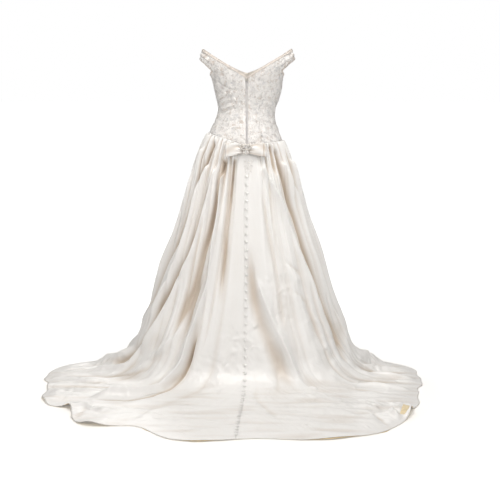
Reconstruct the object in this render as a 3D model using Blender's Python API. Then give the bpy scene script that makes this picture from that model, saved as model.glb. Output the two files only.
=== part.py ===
"""Wedding gown as worn: off-shoulder lace bodice, gathered satin skirt and a train.

Metres, +Z up. The wearer faces -Y and their left is +X. The origin is the centre of the
natural waist, where the fitted bodice is held. Angles are in degrees in plan, from the
centre back (0) towards the wearer's left (90) and the centre front (180).
"""

import math
from bisect import bisect_right
from collections import namedtuple

import bmesh
import bpy
from mathutils import Vector

# Driving dimensions.
FLOOR = -1.106          # the floor, below the natural waist
SATIN = 0.0020          # skirt wall: satin and its interlining
LACE = 0.0024           # bodice wall: lace on boned satin
LINING = 0.0009         # lining at the train's hem
SEAM = 0.0003           # gap between two panels at a seam
WAIST_GAP = 0.0008      # and between the bodice and the skirt
REST = 0.0040           # outer face of the cloth above the floor where it lies

# Neckline, armholes and shoulder bands.
BACK_POINT = 0.140      # height of the back V
FRONT_POINT = 0.150     # height of the front V
SHOULDER = 0.252        # top of the shoulder bands
BACK_SLOPE = 0.600      # rise of the back neckline for each metre to the side
FRONT_POWER = 1.3       # the front neckline's soft curve
SHOULDER_REACH = 0.184  # half width where the neckline crosses the shoulder
UNDERARM = 0.146        # top of the bodice under the arm
BAND_FOOT = 0.162       # where the band's lower edge leaves the bodice
BAND_CREST = 0.211      # the band's lower edge on the outside of the arm
BACK_NECK, BACK_ARM = 57.0, 68.0     # band's back seam: at the neckline, at the armhole
FRONT_NECK, FRONT_ARM = 125.0, 114.0  # band's front seam
SIDE_SEAM = 92.0

# Zip, piping, buttons, bow.
ZIP_HALF = 0.0060       # half the gap between the back panels
ZIP_TOP = 0.123
CHAIN_HALF = 0.0022
TAPE_HALF = 0.0100
TAPE_DEPTH = 0.0034     # the tape's face behind the lace's
PIPING = 0.0016         # radius of the corded edge
BUTTON_RADIUS = 0.0056
BUTTON_RISE = 0.0045
BUTTON_PITCH = 0.0335
BUTTON_GAP = 0.0009
BUTTON_START = 0.128    # first button, along the seam below the waist seam
LOOP_HALF = 0.0020      # half width of the strip of button loops
STRIP_COUNT = 5
BOW_LENGTH, BOW_HEIGHT = 0.172, 0.053
BOW_CENTRE = (0.004, -0.153)    # to the wearer's left, and height
BOW_DEPTH = 0.016
KNOT_HALF = 0.015

Ring = namedtuple("Ring", "height left right back front")
TORSO = (
    Ring(-0.170, 0.168, 0.158, 0.142, 0.128),
    Ring(-0.130, 0.166, 0.150, 0.134, 0.122),
    Ring(-0.090, 0.157, 0.135, 0.120, 0.112),
    Ring(-0.045, 0.134, 0.119, 0.102, 0.100),
    Ring(0.000, 0.120, 0.118, 0.090, 0.094),
    Ring(0.040, 0.124, 0.131, 0.091, 0.102),
    Ring(0.085, 0.133, 0.142, 0.098, 0.114),
    Ring(0.120, 0.142, 0.147, 0.104, 0.120),
    Ring(0.150, 0.155, 0.156, 0.106, 0.118),
    Ring(0.185, 0.181, 0.182, 0.103, 0.110),
    Ring(0.215, 0.196, 0.200, 0.097, 0.100),
    Ring(0.255, 0.184, 0.186, 0.086, 0.086),
)
SQUARENESS = 2.3        # power of the torso's rounded oval
# Soft bust cups, added to the front.
CUP_SIDE, CUP_HEIGHT, CUP_RISE, CUP_SPAN = 0.070, 0.098, 0.022, 0.048

WaistSeam = namedtuple("WaistSeam", "angle height")
WAIST_SEAM = (
    WaistSeam(-180, -0.150),
    WaistSeam(-135, -0.132),
    WaistSeam(-90, -0.121),
    WaistSeam(-45, -0.127),
    WaistSeam(-18, -0.133),
    WaistSeam(0, -0.141),
    WaistSeam(18, -0.126),
    WaistSeam(45, -0.107),
    WaistSeam(90, -0.091),
    WaistSeam(135, -0.114),
    WaistSeam(180, -0.150),
)

# Princess seams, from the waist seam up to the armhole.
Princess = namedtuple("Princess", "height back front")
PRINCESS = (
    Princess(-0.160, 26, 157),
    Princess(-0.050, 28, 157),
    Princess(0.000, 31, 156),
    Princess(0.070, 43, 152),
    Princess(0.110, 53, 142),
    Princess(BAND_FOOT, BACK_ARM, FRONT_ARM),
)
BODICE_ROWS = 9
BAND_ROWS = 4

# The skirt's plan: how far out the falling cloth meets the floor, and where it ends.
Plan = namedtuple("Plan", "angle foot hem")
PLAN = (
    Plan(-180, 0.450, 0.450),
    Plan(-140, 0.470, 0.470),
    Plan(-117, 0.482, 0.487),
    Plan(-102, 0.488, 0.590),
    Plan(-88, 0.490, 0.710),
    Plan(-75, 0.480, 0.745),
    Plan(-55, 0.450, 0.830),
    Plan(-42, 0.420, 0.950),
    Plan(-30, 0.395, 1.075),
    Plan(-15, 0.375, 1.115),
    Plan(0, 0.365, 1.075),
    Plan(12, 0.370, 1.115),
    Plan(24, 0.385, 1.010),
    Plan(34, 0.405, 1.075),
    Plan(44, 0.425, 0.965),
    Plan(52, 0.450, 0.985),
    Plan(64, 0.485, 0.895),
    Plan(78, 0.520, 0.855),
    Plan(90, 0.530, 0.805),
    Plan(103, 0.523, 0.640),
    Plan(118, 0.503, 0.510),
    Plan(140, 0.475, 0.475),
    Plan(180, 0.450, 0.450),
)
BEND = 0.120            # how far each side of the floor line the cloth curves

# How the cloth falls between the waist seam and the floor line.
Fall = namedtuple("Fall", "drop spread")
FALL = (
    Fall(0.00, 0.000),
    Fall(0.06, 0.090),
    Fall(0.14, 0.175),
    Fall(0.30, 0.295),
    Fall(0.50, 0.480),
    Fall(0.70, 0.660),
    Fall(0.85, 0.830),
    Fall(1.00, 1.000),
)

# Where each line of the cloth starts at the waist and ends at the hem.
Spread = namedtuple("Spread", "waist hem")
SPREAD = (
    Spread(-180, -180),
    Spread(-146, -146),
    Spread(-86, -92),
    Spread(-30, -40),
    Spread(0, 2),
    Spread(30, 40),
    Spread(86, 90),
    Spread(146, 146),
    Spread(180, 180),
)
Gore = namedtuple("Gore", "name start end columns")
GORES = (
    Gore("skirt_back_left", 0, 30, 11),
    Gore("skirt_side_back_left", 30, 86, 17),
    Gore("skirt_side_front_left", 86, 146, 12),
    Gore("skirt_front", 146, 214, 14),
    Gore("skirt_side_front_right", -146, -86, 12),
    Gore("skirt_side_back_right", -86, -30, 17),
    Gore("skirt_back_right", -30, 0, 11),
)
# Levels of the skirt, from the waist seam (0) to the hem (1).
LEVELS = (0, 0.03, 0.075, 0.13, 0.20, 0.28, 0.36, 0.44, 0.51, 0.57, 0.63, 0.70, 0.79, 0.88, 0.95, 1)
LINING_LEVELS = LEVELS[-3:]

# The largest folds. Height is out of the cloth (a hollow is negative), width is at the hem.
Fold = namedtuple("Fold", "waist hem height width start end")
FOLDS = (
    Fold(13, 20, -0.024, 0.050, 0.02, 0.52),
    Fold(20, 29, 0.014, 0.050, 0.03, 0.60),
    Fold(28, 39, -0.018, 0.060, 0.02, 0.64),
    Fold(35, 47, 0.024, 0.060, 0.10, 0.97),
    Fold(43, 56, -0.018, 0.060, 0.02, 0.70),
    Fold(49, 66, 0.020, 0.060, 0.06, 0.97),
    Fold(57, 76, -0.026, 0.055, 0.02, 0.84),
    Fold(64, 83, 0.026, 0.050, 0.06, 1.00),
    Fold(75, 92, -0.018, 0.055, 0.03, 0.80),
    Fold(86, 99, 0.020, 0.050, 0.06, 1.00),
    Fold(-12, -18, -0.012, 0.045, 0.02, 0.40),
    Fold(-18, -27, 0.010, 0.055, 0.03, 0.70),
    Fold(-25, -37, -0.014, 0.055, 0.02, 0.42),
    Fold(-32, -47, 0.014, 0.060, 0.03, 0.85),
    Fold(-40, -60, -0.026, 0.055, 0.02, 0.82),
    Fold(-49, -69, 0.022, 0.050, 0.04, 0.90),
    Fold(-59, -77, -0.018, 0.055, 0.03, 0.82),
    Fold(-70, -86, 0.020, 0.050, 0.06, 1.00),
    Fold(-82, -96, -0.016, 0.055, 0.03, 0.80),
    Fold(-3, -24, -0.020, 0.060, 0.38, 0.62),
    Fold(25, 25, 0.026, 0.075, 0.86, 1.00),
    Fold(84, 93, 0.050, 0.060, 0.72, 1.00),
    Fold(-78, -92, 0.036, 0.055, 0.74, 1.00),
    Fold(-30, -32, 0.016, 0.080, 0.80, 1.00),
)
# The front hangs in plain folds, alike on both sides.
FRONT_FOLDS = tuple(
    Fold(side * angle, side * angle, height, 0.055, 0.03, 1.00)
    for side in (-1, 1)
    for angle, height in ((103, -0.016), (117, 0.016), (131, -0.015), (147, 0.014), (163, -0.014))
)
NARROWING = 0.42        # a fold's width at the waist, as a share of its width at the hem


def between(low, high, share):
    return low + (high - low) * share


def ease(share):
    """0 to 1 with level ends."""
    share = min(max(share, 0.0), 1.0)
    return share * share * (3 - 2 * share)


def spaced(low, high, steps):
    return [between(low, high, i / steps) for i in range(steps + 1)]


def row_at(rows, place):
    """A table's row at a place between its rows, on a smooth curve through them."""
    places = [row[0] for row in rows]
    place = min(max(place, places[0]), places[-1])
    i = min(bisect_right(places, place) - 1, len(rows) - 2)
    near = [rows[min(max(i + step, 0), len(rows) - 1)] for step in (-1, 0, 1, 2)]
    span = places[i + 1] - places[i]
    t = (place - places[i]) / span
    values = []
    for column in range(len(rows[0])):
        before, low, high, after = (row[column] for row in near)
        rise_low = (high - before) / (near[2][0] - near[0][0]) * span
        rise_high = (after - low) / (near[3][0] - near[1][0]) * span
        values.append(
            low * (2 * t**3 - 3 * t**2 + 1)
            + high * (3 * t**2 - 2 * t**3)
            + rise_low * (t**3 - 2 * t**2 + t)
            + rise_high * (t**3 - t**2)
        )
    return type(rows[0])(*values)


def half_turn(angle):
    """The same angle between -180 and 180."""
    return (angle + 180.0) % 360.0 - 180.0


# --- the bodice's form ---


def torso_radius(angle, height):
    """Distance of the bodice from its upright centre line."""
    ring = row_at(TORSO, height)
    across, along = math.sin(math.radians(angle)), math.cos(math.radians(angle))
    half_width = ring.left if across > 0 else ring.right
    depth = ring.back if along > 0 else ring.front
    sides = (abs(across) / half_width) ** SQUARENESS
    radius = (sides + (abs(along) / depth) ** SQUARENESS) ** (-1 / SQUARENESS)
    if along < 0:
        off_side = abs(across) * radius - CUP_SIDE
        off_height = height - CUP_HEIGHT
        radius += CUP_RISE * math.exp(-(off_side**2 + off_height**2) / CUP_SPAN**2)
    return radius


def torso_point(angle, height):
    radius = torso_radius(angle, height)
    turn = math.radians(angle)
    return Vector((radius * math.sin(turn), radius * math.cos(turn), height))


def torso_normal(angle, height):
    return facing(torso_point, angle, height, 0.5, -0.001)


def torso_place(angle, height):
    return torso_point(angle, height), torso_normal(angle, height)


def waist_seam(angle):
    return row_at(WAIST_SEAM, half_turn(angle)).height


def neckline(angle):
    """Height of the top edge at an angle."""
    angle = abs(half_turn(angle))
    height = BACK_POINT
    for _ in range(10):
        reach = torso_radius(angle, height) * math.sin(math.radians(angle))
        if angle < 90:
            height = BACK_POINT + BACK_SLOPE * reach
        else:
            rise = (SHOULDER - FRONT_POINT) * (abs(reach) / SHOULDER_REACH) ** FRONT_POWER
            height = FRONT_POINT + rise
        height = min(height, SHOULDER)
    return height


def bodice_top(angle):
    """Top edge of the bodice panels, which is lower between the bands' two seams."""
    angle = abs(half_turn(angle))
    for at_neck, at_arm in ((BACK_NECK, BACK_ARM), (FRONT_NECK, FRONT_ARM)):
        if min(at_neck, at_arm) <= angle <= max(at_neck, at_arm):
            return between(neckline(at_neck), BAND_FOOT, (angle - at_neck) / (at_arm - at_neck))
    if BACK_ARM < angle < FRONT_ARM:
        share = (angle - BACK_ARM) / (FRONT_ARM - BACK_ARM)
        return between(BAND_FOOT, UNDERARM, math.sin(math.pi * share))
    return neckline(angle)


def band_foot(share):
    """Height of the band's lower edge, from its back seam (0) to its front seam (1)."""
    share = min(max(share, 0.0), 1.0)
    return between(BAND_FOOT, BAND_CREST, math.sin(math.pi * share) ** 0.9)


def band_point(share, down):
    """A shoulder band on the wearer's left: along it, and from neckline to arm edge."""
    top, foot = between(BACK_NECK, FRONT_NECK, share), between(BACK_ARM, FRONT_ARM, share)
    height = between(neckline(top), band_foot(share), down)
    return between(top, foot, down), height


def seam_angle(seam, side, height):
    """Plan angle of a bodice seam at a height, on the wearer's left (1) or right (-1)."""
    if seam == "zip":
        return side * math.degrees(ZIP_HALF / torso_radius(0, height))
    if seam == "side":
        return side * SIDE_SEAM
    return side * getattr(row_at(PRINCESS, height), seam)


def seam_end(seam, side, edge):
    """Plan angle at which a bodice seam meets an edge."""
    height = 0.15 if edge is bodice_top else -0.12
    for _ in range(30):
        height = between(height, edge(seam_angle(seam, side, height)), 0.5)
    return seam_angle(seam, side, height)


# --- the skirt's form ---


def skirt_base(angle, down):
    """Point of the skirt without folds. Down is 0 at the waist seam and 1 at the hem."""
    angle = half_turn(angle)
    plan = row_at(PLAN, angle)
    top = waist_seam(angle) - WAIST_GAP
    floor = FLOOR + REST
    top_radius = torso_radius(angle, top)
    slant = math.hypot(plan.foot - top_radius, top - floor)
    run = max(plan.hem - plan.foot, 0.0)
    bend = min(BEND, 0.45 * run)
    travel = down * (slant + run)

    def falling(share):
        spread = row_at(FALL, share).spread if share > 0 else 1.5 * share
        return Vector((between(top_radius, plan.foot, spread), between(top, floor, share)))

    if travel <= slant - bend or bend < 1e-6:
        place = falling(travel / slant)
    elif travel >= slant + bend:
        place = Vector((plan.foot + travel - slant, floor))
    else:
        turned = (travel - slant + bend) / (2 * bend)
        corner, end = Vector((plan.foot, floor)), Vector((plan.foot + bend, floor))
        start = falling(1 - bend / slant)
        place = start * (1 - turned) ** 2 + corner * 2 * turned * (1 - turned) + end * turned**2
    turn = math.radians(angle)
    return Vector((place[0] * math.sin(turn), place[0] * math.cos(turn), place[1]))


def fold_rise(angle, down, radius):
    """How far the folds lift the cloth off its base."""
    rise = 0.0
    for fold in FOLDS + FRONT_FOLDS:
        centre = between(fold.waist, fold.hem, ease(down))
        away = math.radians(half_turn(angle - centre)) * radius
        width = fold.width * between(NARROWING, 1.0, down)
        if abs(away) > 2 * width:
            continue
        shown = ease((down - fold.start) / 0.12) * (1 - ease((down - fold.end) / 0.14))
        shown *= between(0.6, 1.0, down)
        rise += fold.height * shown * math.exp(-((away / (0.62 * width)) ** 2))
    return rise


def skirt_point(line, down):
    """Outer face of the skirt on a line of the cloth."""
    line = half_turn(line)
    angle = between(line, row_at(SPREAD, line).hem, ease(down))
    base = skirt_base(angle, down)
    normal = facing(skirt_base, angle, down, 0.4, 0.004)
    rise = fold_rise(angle, down, math.hypot(base.x, base.y))
    if rise < 0:
        rise *= 1 - max(normal.z, 0.0)
    return base + normal * rise


def skirt_place(line, down):
    return skirt_point(line, down), facing(skirt_point, line, down, 0.6, 0.006)


# --- building ---


def facing(surface, first, second, first_step, second_step):
    """Outward normal of surface(first, second), where first runs round and second runs down."""
    round_it = surface(first + first_step, second) - surface(first - first_step, second)
    down_it = surface(first, second + second_step) - surface(first, second - second_step)
    return round_it.cross(down_it).normalized()


def finish(name, slot, points, faces):
    """Makes the object, with its material, and turns its faces outwards."""
    mesh = bpy.data.meshes.new(name)
    mesh.from_pydata(points, [], faces)
    shell = bmesh.new()
    shell.from_mesh(mesh)
    bmesh.ops.recalc_face_normals(shell, faces=shell.faces)
    shell.to_mesh(mesh)
    shell.free()
    mesh.materials.append(MATERIALS[slot])
    made = bpy.data.objects.new(name, mesh)
    bpy.context.scene.collection.objects.link(made)
    mesh.shade_smooth()
    mesh.set_sharp_from_angle(angle=math.radians(40))


def wall(name, slot, surface, across, down, thickness, inset=0.0):
    """A cloth wall over a grid of places, standing back from its edges by half a seam.

    surface(across, down) gives a point of its outer face, or of what it lies under by the
    inset, and the way that face looks.
    """
    wide, tall = len(across), len(down)
    face = [[surface(a, d) for a in across] for d in down]
    outer, inner = [], []
    for j in range(tall):
        for i in range(wide):
            here, normal = face[j][i]
            pull = Vector()
            if i in (0, wide - 1):
                pull += (face[j][1 if i == 0 else wide - 2][0] - here).normalized()
            if j in (0, tall - 1):
                pull += (face[1 if j == 0 else tall - 2][i][0] - here).normalized()
            here = here + pull * SEAM / 2
            outer.append(here - normal * inset)
            inner.append(here - normal * (inset + thickness))
    behind = len(outer)
    faces = []
    for j in range(tall - 1):
        for i in range(wide - 1):
            a, b = j * wide + i, j * wide + i + 1
            c, d = b + wide, a + wide
            faces.append((a, d, c, b))
            faces.append((a + behind, b + behind, c + behind, d + behind))
    edge = [i for i in range(wide)]
    edge += [j * wide + wide - 1 for j in range(1, tall)]
    edge += [(tall - 1) * wide + i for i in range(wide - 2, -1, -1)]
    edge += [j * wide for j in range(tall - 2, 0, -1)]
    for a, b in zip(edge, edge[1:] + edge[:1]):
        # Both sides of a seam are split alike, from the higher outer corner.
        high, low = (a, b) if outer[a].z > outer[b].z else (b, a)
        faces.append((high, low, low + behind))
        faces.append((high, low + behind, high + behind))
    finish(name, slot, outer + inner, faces)


def loft(name, slot, rings, closed=False):
    """A solid through rings with the same number of points."""
    count = len(rings[0])
    points = [point for ring in rings for point in ring]
    faces = []
    for j in range(len(rings) if closed else len(rings) - 1):
        low, high = j * count, (j + 1) % len(rings) * count
        for i in range(count):
            k = (i + 1) % count
            faces.append((low + i, low + k, high + k, high + i))
    if not closed:
        faces.append(tuple(range(count)))
        faces.append(tuple(range(len(points) - count, len(points))))
    finish(name, slot, points, faces)


def cord_ring(centre, normal, side, radius, sides=6):
    ring = []
    for i in range(sides):
        turn = 2 * math.pi * i / sides
        ring.append(centre + (normal * math.cos(turn) + side * math.sin(turn)) * radius)
    return ring


def edge_cord(name, places, closed=False):
    """Piping that stands off the edge of the bodice, to the left of the way it runs."""
    rings = []
    count = len(places)
    for i, (angle, height) in enumerate(places):
        ahead, behind = (i + 1) % count, (i - 1) % count
        if not closed:
            ahead, behind = min(i + 1, count - 1), max(i - 1, 0)
        along = torso_point(*places[ahead]) - torso_point(*places[behind])
        normal = torso_normal(angle, height)
        side = along.cross(normal).normalized()
        middle = torso_point(angle, height) - normal * LACE / 2
        rings.append(cord_ring(middle + side * (PIPING + SEAM), normal, side, PIPING))
    loft(name, "piping", rings, closed)


def bodice_panel(name, left, right, tops):
    """A bodice panel between two seams, each named with its side, over its top angles."""
    low, high = seam_end(*left, bodice_top), seam_end(*right, bodice_top)
    foot_low, foot_high = seam_end(*left, waist_seam), seam_end(*right, waist_seam)
    turn = 360 if high < low else 0
    shares = [(angle - low) / (high + turn - low) for angle in tops]

    def surface(share, down):
        top = bodice_top(between(low, high + turn, share))
        foot = waist_seam(between(foot_low, foot_high + turn, share))
        height = between(top, foot, down)
        angle = between(seam_angle(*left, height), seam_angle(*right, height) + turn, share)
        return torso_place(angle, height)

    shares[0], shares[-1] = 0.0, 1.0
    wall(name, "lace", surface, shares, spaced(0, 1, BODICE_ROWS), LACE)


def seam_line():
    """The centre back seam of the skirt: each point, and the cloth's way to both sides."""
    reach = GORES[0].end / GORES[0].columns
    stops = []
    for level in LEVELS:
        here = skirt_point(0, level)
        left = (skirt_point(reach, level) - here).normalized()
        right = (skirt_point(-reach, level) - here).normalized()
        stops.append((here, left, right))
    return stops


def on_seam_line(stops, travel):
    """A place on the seam: its point, its ways to left and right, and its facing."""
    for i in range(len(stops) - 1):
        step = stops[i + 1][0] - stops[i][0]
        if travel <= step.length or i == len(stops) - 2:
            share = min(travel / step.length, 1.0)
            here, left, right = (a.lerp(b, share) for a, b in zip(stops[i], stops[i + 1]))
            return here, left, right, (left - right).cross(step).normalized()
        travel -= step.length


def button_strip(name, first, count):
    """Covered buttons in a row on their strip of loops, as one piece."""
    seam_stops = seam_line()
    stops = []
    for i in range(count):
        middle = BUTTON_START + (first + i) * BUTTON_PITCH
        stops.append((middle - 0.0058, LOOP_HALF, 0.0014))
        stops.append((middle - 0.0034, BUTTON_RADIUS * 0.85, BUTTON_RISE * 0.75))
        stops.append((middle, BUTTON_RADIUS, BUTTON_RISE))
        stops.append((middle + 0.0034, BUTTON_RADIUS * 0.85, BUTTON_RISE * 0.75))
        stops.append((middle + 0.0058, LOOP_HALF, 0.0014))
    rings = []
    for travel, half, rise in stops:
        place, left, right, normal = on_seam_line(seam_stops, travel)
        foot = place + normal * BUTTON_GAP
        rings.append([
            foot,
            foot + right * half,
            foot + right * half * 0.6 + normal * rise * 0.8,
            foot + normal * rise,
            foot + left * half * 0.6 + normal * rise * 0.8,
            foot + left * half,
        ])
    loft(name, "satin", rings)


def bow_back(x, height):
    """How far back the bow's rear layer lies."""
    return 0.1555 - 0.22 * (height + 0.179) - 0.9 * x * x


def bow_loop(name, side):
    """A flat loop of the bow: a band from the knot to its outer fold and back."""
    middle, level = BOW_CENTRE
    reach = BOW_LENGTH / 2
    rings = []
    for i in range(15):
        share = i / 14
        if share < 0.44:
            out, depth = between(KNOT_HALF + SEAM, reach - 0.006, share / 0.44), BOW_DEPTH
        elif share > 0.56:
            out, depth = between(reach - 0.006, KNOT_HALF + SEAM, (share - 0.56) / 0.44), 0.0
        else:
            turn = math.pi * (share - 0.44) / 0.12
            out = reach - 0.006 + 0.006 * math.sin(turn)
            depth = BOW_DEPTH * (1 + math.cos(turn)) / 2
        swell = math.sin(math.pi * min(out / reach, 1) * 0.8)
        if depth > BOW_DEPTH / 2:
            depth -= 0.004 * (1 - swell)
        half = between(0.019, BOW_HEIGHT / 2, ease(out / reach * 1.3))
        inward = Vector((-side, 0, 0)) if abs(share - 0.5) < 0.03 else Vector((0, -1, 0))
        if share > 0.53:
            inward = Vector((0, 1, 0))
        ring = []
        for rise, layer in ((half, 0), (half, 1), (-half, 1), (-half, 0)):
            x = middle + side * out
            place = Vector((x, bow_back(x, level + rise) + depth, level + rise))
            ring.append(place + inward * layer * SATIN)
        rings.append(ring)
    loft(name, "satin", rings)


def oval(centre, half_width, half_height, depth, sides, squareness=2.0):
    """A ring of points in a plane that faces backwards."""
    ring = []
    for i in range(sides):
        turn = 2 * math.pi * i / sides
        across, up = math.cos(turn), math.sin(turn)
        scale = (abs(across) ** squareness + abs(up) ** squareness) ** (-1 / squareness)
        place = (across * scale * half_width, up * scale * half_height)
        ring.append(Vector((centre[0] + place[0], depth, centre[1] + place[1])))
    return ring


for old in list(bpy.data.objects):
    bpy.data.objects.remove(old)

MATERIALS = {}
for slot, colour, roughness, metallic in (
    ("satin", (0.86, 0.82, 0.76), 0.38, 0.0),
    ("lace", (0.84, 0.81, 0.77), 0.60, 0.0),
    ("piping", (0.90, 0.84, 0.78), 0.45, 0.0),
    ("lining", (0.84, 0.74, 0.52), 0.55, 0.0),
    ("zip", (0.52, 0.51, 0.50), 0.50, 0.0),
    ("beads", (0.80, 0.79, 0.78), 0.22, 0.2),
):
    material = bpy.data.materials.new(slot)
    material.use_nodes = True
    surface_node = material.node_tree.nodes["Principled BSDF"]
    surface_node.inputs["Base Color"].default_value = (*colour, 1.0)
    surface_node.inputs["Roughness"].default_value = roughness
    surface_node.inputs["Metallic"].default_value = metallic
    MATERIALS[slot] = material

# Bodice panels, with more columns where the bands join.
for word, side in (("left", 1), ("right", -1)):
    zip_top = seam_end("zip", 1, bodice_top)
    tops = spaced(zip_top, BACK_NECK, 6) + spaced(BACK_NECK, BACK_ARM, BAND_ROWS)[1:]
    ends = ("zip", side), ("back", side)
    if side < 0:
        tops, ends = [-angle for angle in reversed(tops)], (ends[1], ends[0])
    bodice_panel(f"bodice_back_{word}", *ends, tops)

    tops, ends = spaced(BACK_ARM, SIDE_SEAM, 5), (("back", side), ("side", side))
    if side < 0:
        tops, ends = [-angle for angle in reversed(tops)], (ends[1], ends[0])
    bodice_panel(f"bodice_side_back_{word}", *ends, tops)

    tops, ends = spaced(SIDE_SEAM, FRONT_ARM, 5), (("side", side), ("front", side))
    if side < 0:
        tops, ends = [-angle for angle in reversed(tops)], (ends[1], ends[0])
    bodice_panel(f"bodice_side_front_{word}", *ends, tops)

    def band(share, down, side=side):
        angle, height = band_point(share if side > 0 else 1 - share, down)
        return torso_place(side * angle, height)

    wall(f"shoulder_band_{word}", "lace", band, spaced(0, 1, 12), spaced(0, 1, BAND_ROWS), LACE)

tops = spaced(FRONT_ARM, FRONT_NECK, BAND_ROWS) + spaced(FRONT_NECK, 360 - FRONT_NECK, 14)[1:]
tops += spaced(360 - FRONT_NECK, 360 - FRONT_ARM, BAND_ROWS)[1:]
bodice_panel("bodice_front", ("front", 1), ("front", -1), tops)

# Piping round the neckline and each armhole.
half = spaced(zip_top, BACK_NECK, 6) + spaced(BACK_NECK, FRONT_NECK, 12)[1:]
half += spaced(FRONT_NECK, 180, 7)[1:]
angles = half + [360 - angle for angle in reversed(half[:-1])]
edge_cord("neck_piping", [(angle, neckline(angle)) for angle in angles])
for word, side in (("left", 1), ("right", -1)):
    lower = [between(BACK_ARM, FRONT_ARM, share) for share in spaced(0.10, 0.90, 7)]
    places = [(angle, bodice_top(angle)) for angle in lower]
    for share in spaced(0.93, 0.07, 11):
        places.append((between(BACK_ARM, FRONT_ARM, share), band_foot(share)))
    places = [(side * angle, height) for angle, height in places]
    edge_cord(f"armhole_piping_{word}", places if side > 0 else places[::-1], closed=True)

# Zip in the gap between the back panels, on tapes behind their edges.
heights = spaced(ZIP_TOP, waist_seam(0) + 0.001, 14)
for name, low, high, under, thick in (
    ("zip_tape_left", CHAIN_HALF + SEAM, TAPE_HALF, TAPE_DEPTH, 0.0008),
    ("zip_tape_right", -TAPE_HALF, -CHAIN_HALF - SEAM, TAPE_DEPTH, 0.0008),
    ("zip_chain", -CHAIN_HALF, CHAIN_HALF, 0.0016, 0.0024),
):
    rings = []
    for height in heights:
        ring = []
        for x, depth in ((low, under), (high, under), (high, under + thick), (low, under + thick)):
            angle = math.degrees(x / torso_radius(0, height))
            place = torso_point(angle, height)
            ring.append(place - torso_normal(angle, height) * depth)
        rings.append(ring)
    loft(name, "zip", rings)
slider_back = torso_point(0, ZIP_TOP + 0.006).y
rings = []
for height, half, rise in ((0.0105, 0.0022, 0.0012), (0.008, 0.0034, 0.002), (0.001, 0.0026, 0.001)):
    z = ZIP_TOP + height
    rings.append([
        Vector((-half, slider_back - 0.0035, z)),
        Vector((half, slider_back - 0.0035, z)),
        Vector((half, slider_back + rise - 0.0005, z)),
        Vector((-half, slider_back + rise - 0.0005, z)),
    ])
loft("zip_slider", "zip", rings)

# Skirt gores.
for gore in GORES:
    wall(gore.name, "satin", skirt_place, spaced(gore.start, gore.end, gore.columns), LEVELS, SATIN)

# Lining behind the train's hem, where the lifted hem shows it.
for word, gore in (("left", GORES[0]), ("right", GORES[-1])):
    lines = spaced(gore.start, gore.end, gore.columns)
    inset = SATIN + SEAM
    wall(f"train_lining_{word}", "lining", skirt_place, lines, LINING_LEVELS, LINING, inset)

# Covered buttons down the centre back seam.
seam_stops = seam_line()
seam_length = sum((b[0] - a[0]).length for a, b in zip(seam_stops, seam_stops[1:]))
button_count = int((seam_length - 0.012 - BUTTON_START) / BUTTON_PITCH) + 1
share_out = [round(i * button_count / STRIP_COUNT) for i in range(STRIP_COUNT + 1)]
for i in range(STRIP_COUNT):
    button_strip(f"button_strip_{i + 1}", share_out[i], share_out[i + 1] - share_out[i])

# Bow with its knot and brooch, and the beaded motif below it.
bow_loop("bow_loop_left", 1)
bow_loop("bow_loop_right", -1)
rings = []
bow_x, bow_z = BOW_CENTRE
face_back = bow_back(0, bow_z)
for out, scale in ((0.000, 0.80), (0.004, 1.0), (0.016, 1.0), (0.0205, 0.85), (0.022, 0.5)):
    size = (KNOT_HALF - SEAM) * scale
    rings.append(oval((bow_x, bow_z), size, 0.022 * scale, face_back + out, 16, 4.0))
loft("bow_knot", "satin", rings)
rings = []
brooch_z = bow_z + 0.010
for out, scale in ((0.0226, 0.92), (0.0245, 1.0), (0.0270, 0.94), (0.0290, 0.66), (0.0296, 0.3)):
    rings.append(oval((bow_x, brooch_z), 0.025 * scale, 0.0125 * scale, face_back + out, 20))
loft("bow_brooch", "beads", rings)


def motif(across, down):
    """The motif's place on the skirt, out from the cloth."""
    level = between(0.030, 0.063, down)
    waver = 1 + 0.22 * math.sin(down * math.pi * 4)
    line = -2.6 + across * 6.2 * math.sin(math.pi * between(0.16, 0.86, down)) * waver
    point, normal = skirt_place(line, level)
    return point + normal * 0.0030, normal


wall("lace_motif", "beads", motif, spaced(-1, 1, 4), spaced(0, 1, 8), 0.0012)
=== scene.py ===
# Looks of the wedding gown: off-shoulder lace bodice, gathered satin skirt and spread train.
# The wearer faces -Y with their left at +X, and the waist is at the origin. Angles are in
# degrees in plan, from the centre back (0) towards the wearer's left (90).
import math
import bpy
import numpy as np
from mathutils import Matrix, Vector


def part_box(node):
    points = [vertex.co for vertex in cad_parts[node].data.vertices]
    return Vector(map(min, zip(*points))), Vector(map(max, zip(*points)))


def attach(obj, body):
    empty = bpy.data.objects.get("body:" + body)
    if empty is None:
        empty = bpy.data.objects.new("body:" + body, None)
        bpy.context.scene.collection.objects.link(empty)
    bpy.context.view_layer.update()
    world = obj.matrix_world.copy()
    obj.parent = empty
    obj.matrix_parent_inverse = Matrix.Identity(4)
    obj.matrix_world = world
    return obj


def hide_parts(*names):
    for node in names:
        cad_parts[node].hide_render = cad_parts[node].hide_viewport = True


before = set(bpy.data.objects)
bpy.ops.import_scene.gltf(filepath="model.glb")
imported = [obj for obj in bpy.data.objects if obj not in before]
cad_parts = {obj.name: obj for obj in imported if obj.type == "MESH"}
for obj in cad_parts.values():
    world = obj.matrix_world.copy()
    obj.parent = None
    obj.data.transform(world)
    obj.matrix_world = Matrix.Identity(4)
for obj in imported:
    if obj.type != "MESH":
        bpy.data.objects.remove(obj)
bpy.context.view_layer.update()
for item in bpy.context.selected_objects:
    item.select_set(False)

floorZ = -1.106


def mix(low, high, share):
    return low + (high - low) * share


def ease(share):
    share = np.clip(share, 0.0, 1.0)
    return share * share * (3 - 2 * share)


def unit(vectors):
    return vectors / np.linalg.norm(vectors, axis=-1, keepdims=True)


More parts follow.
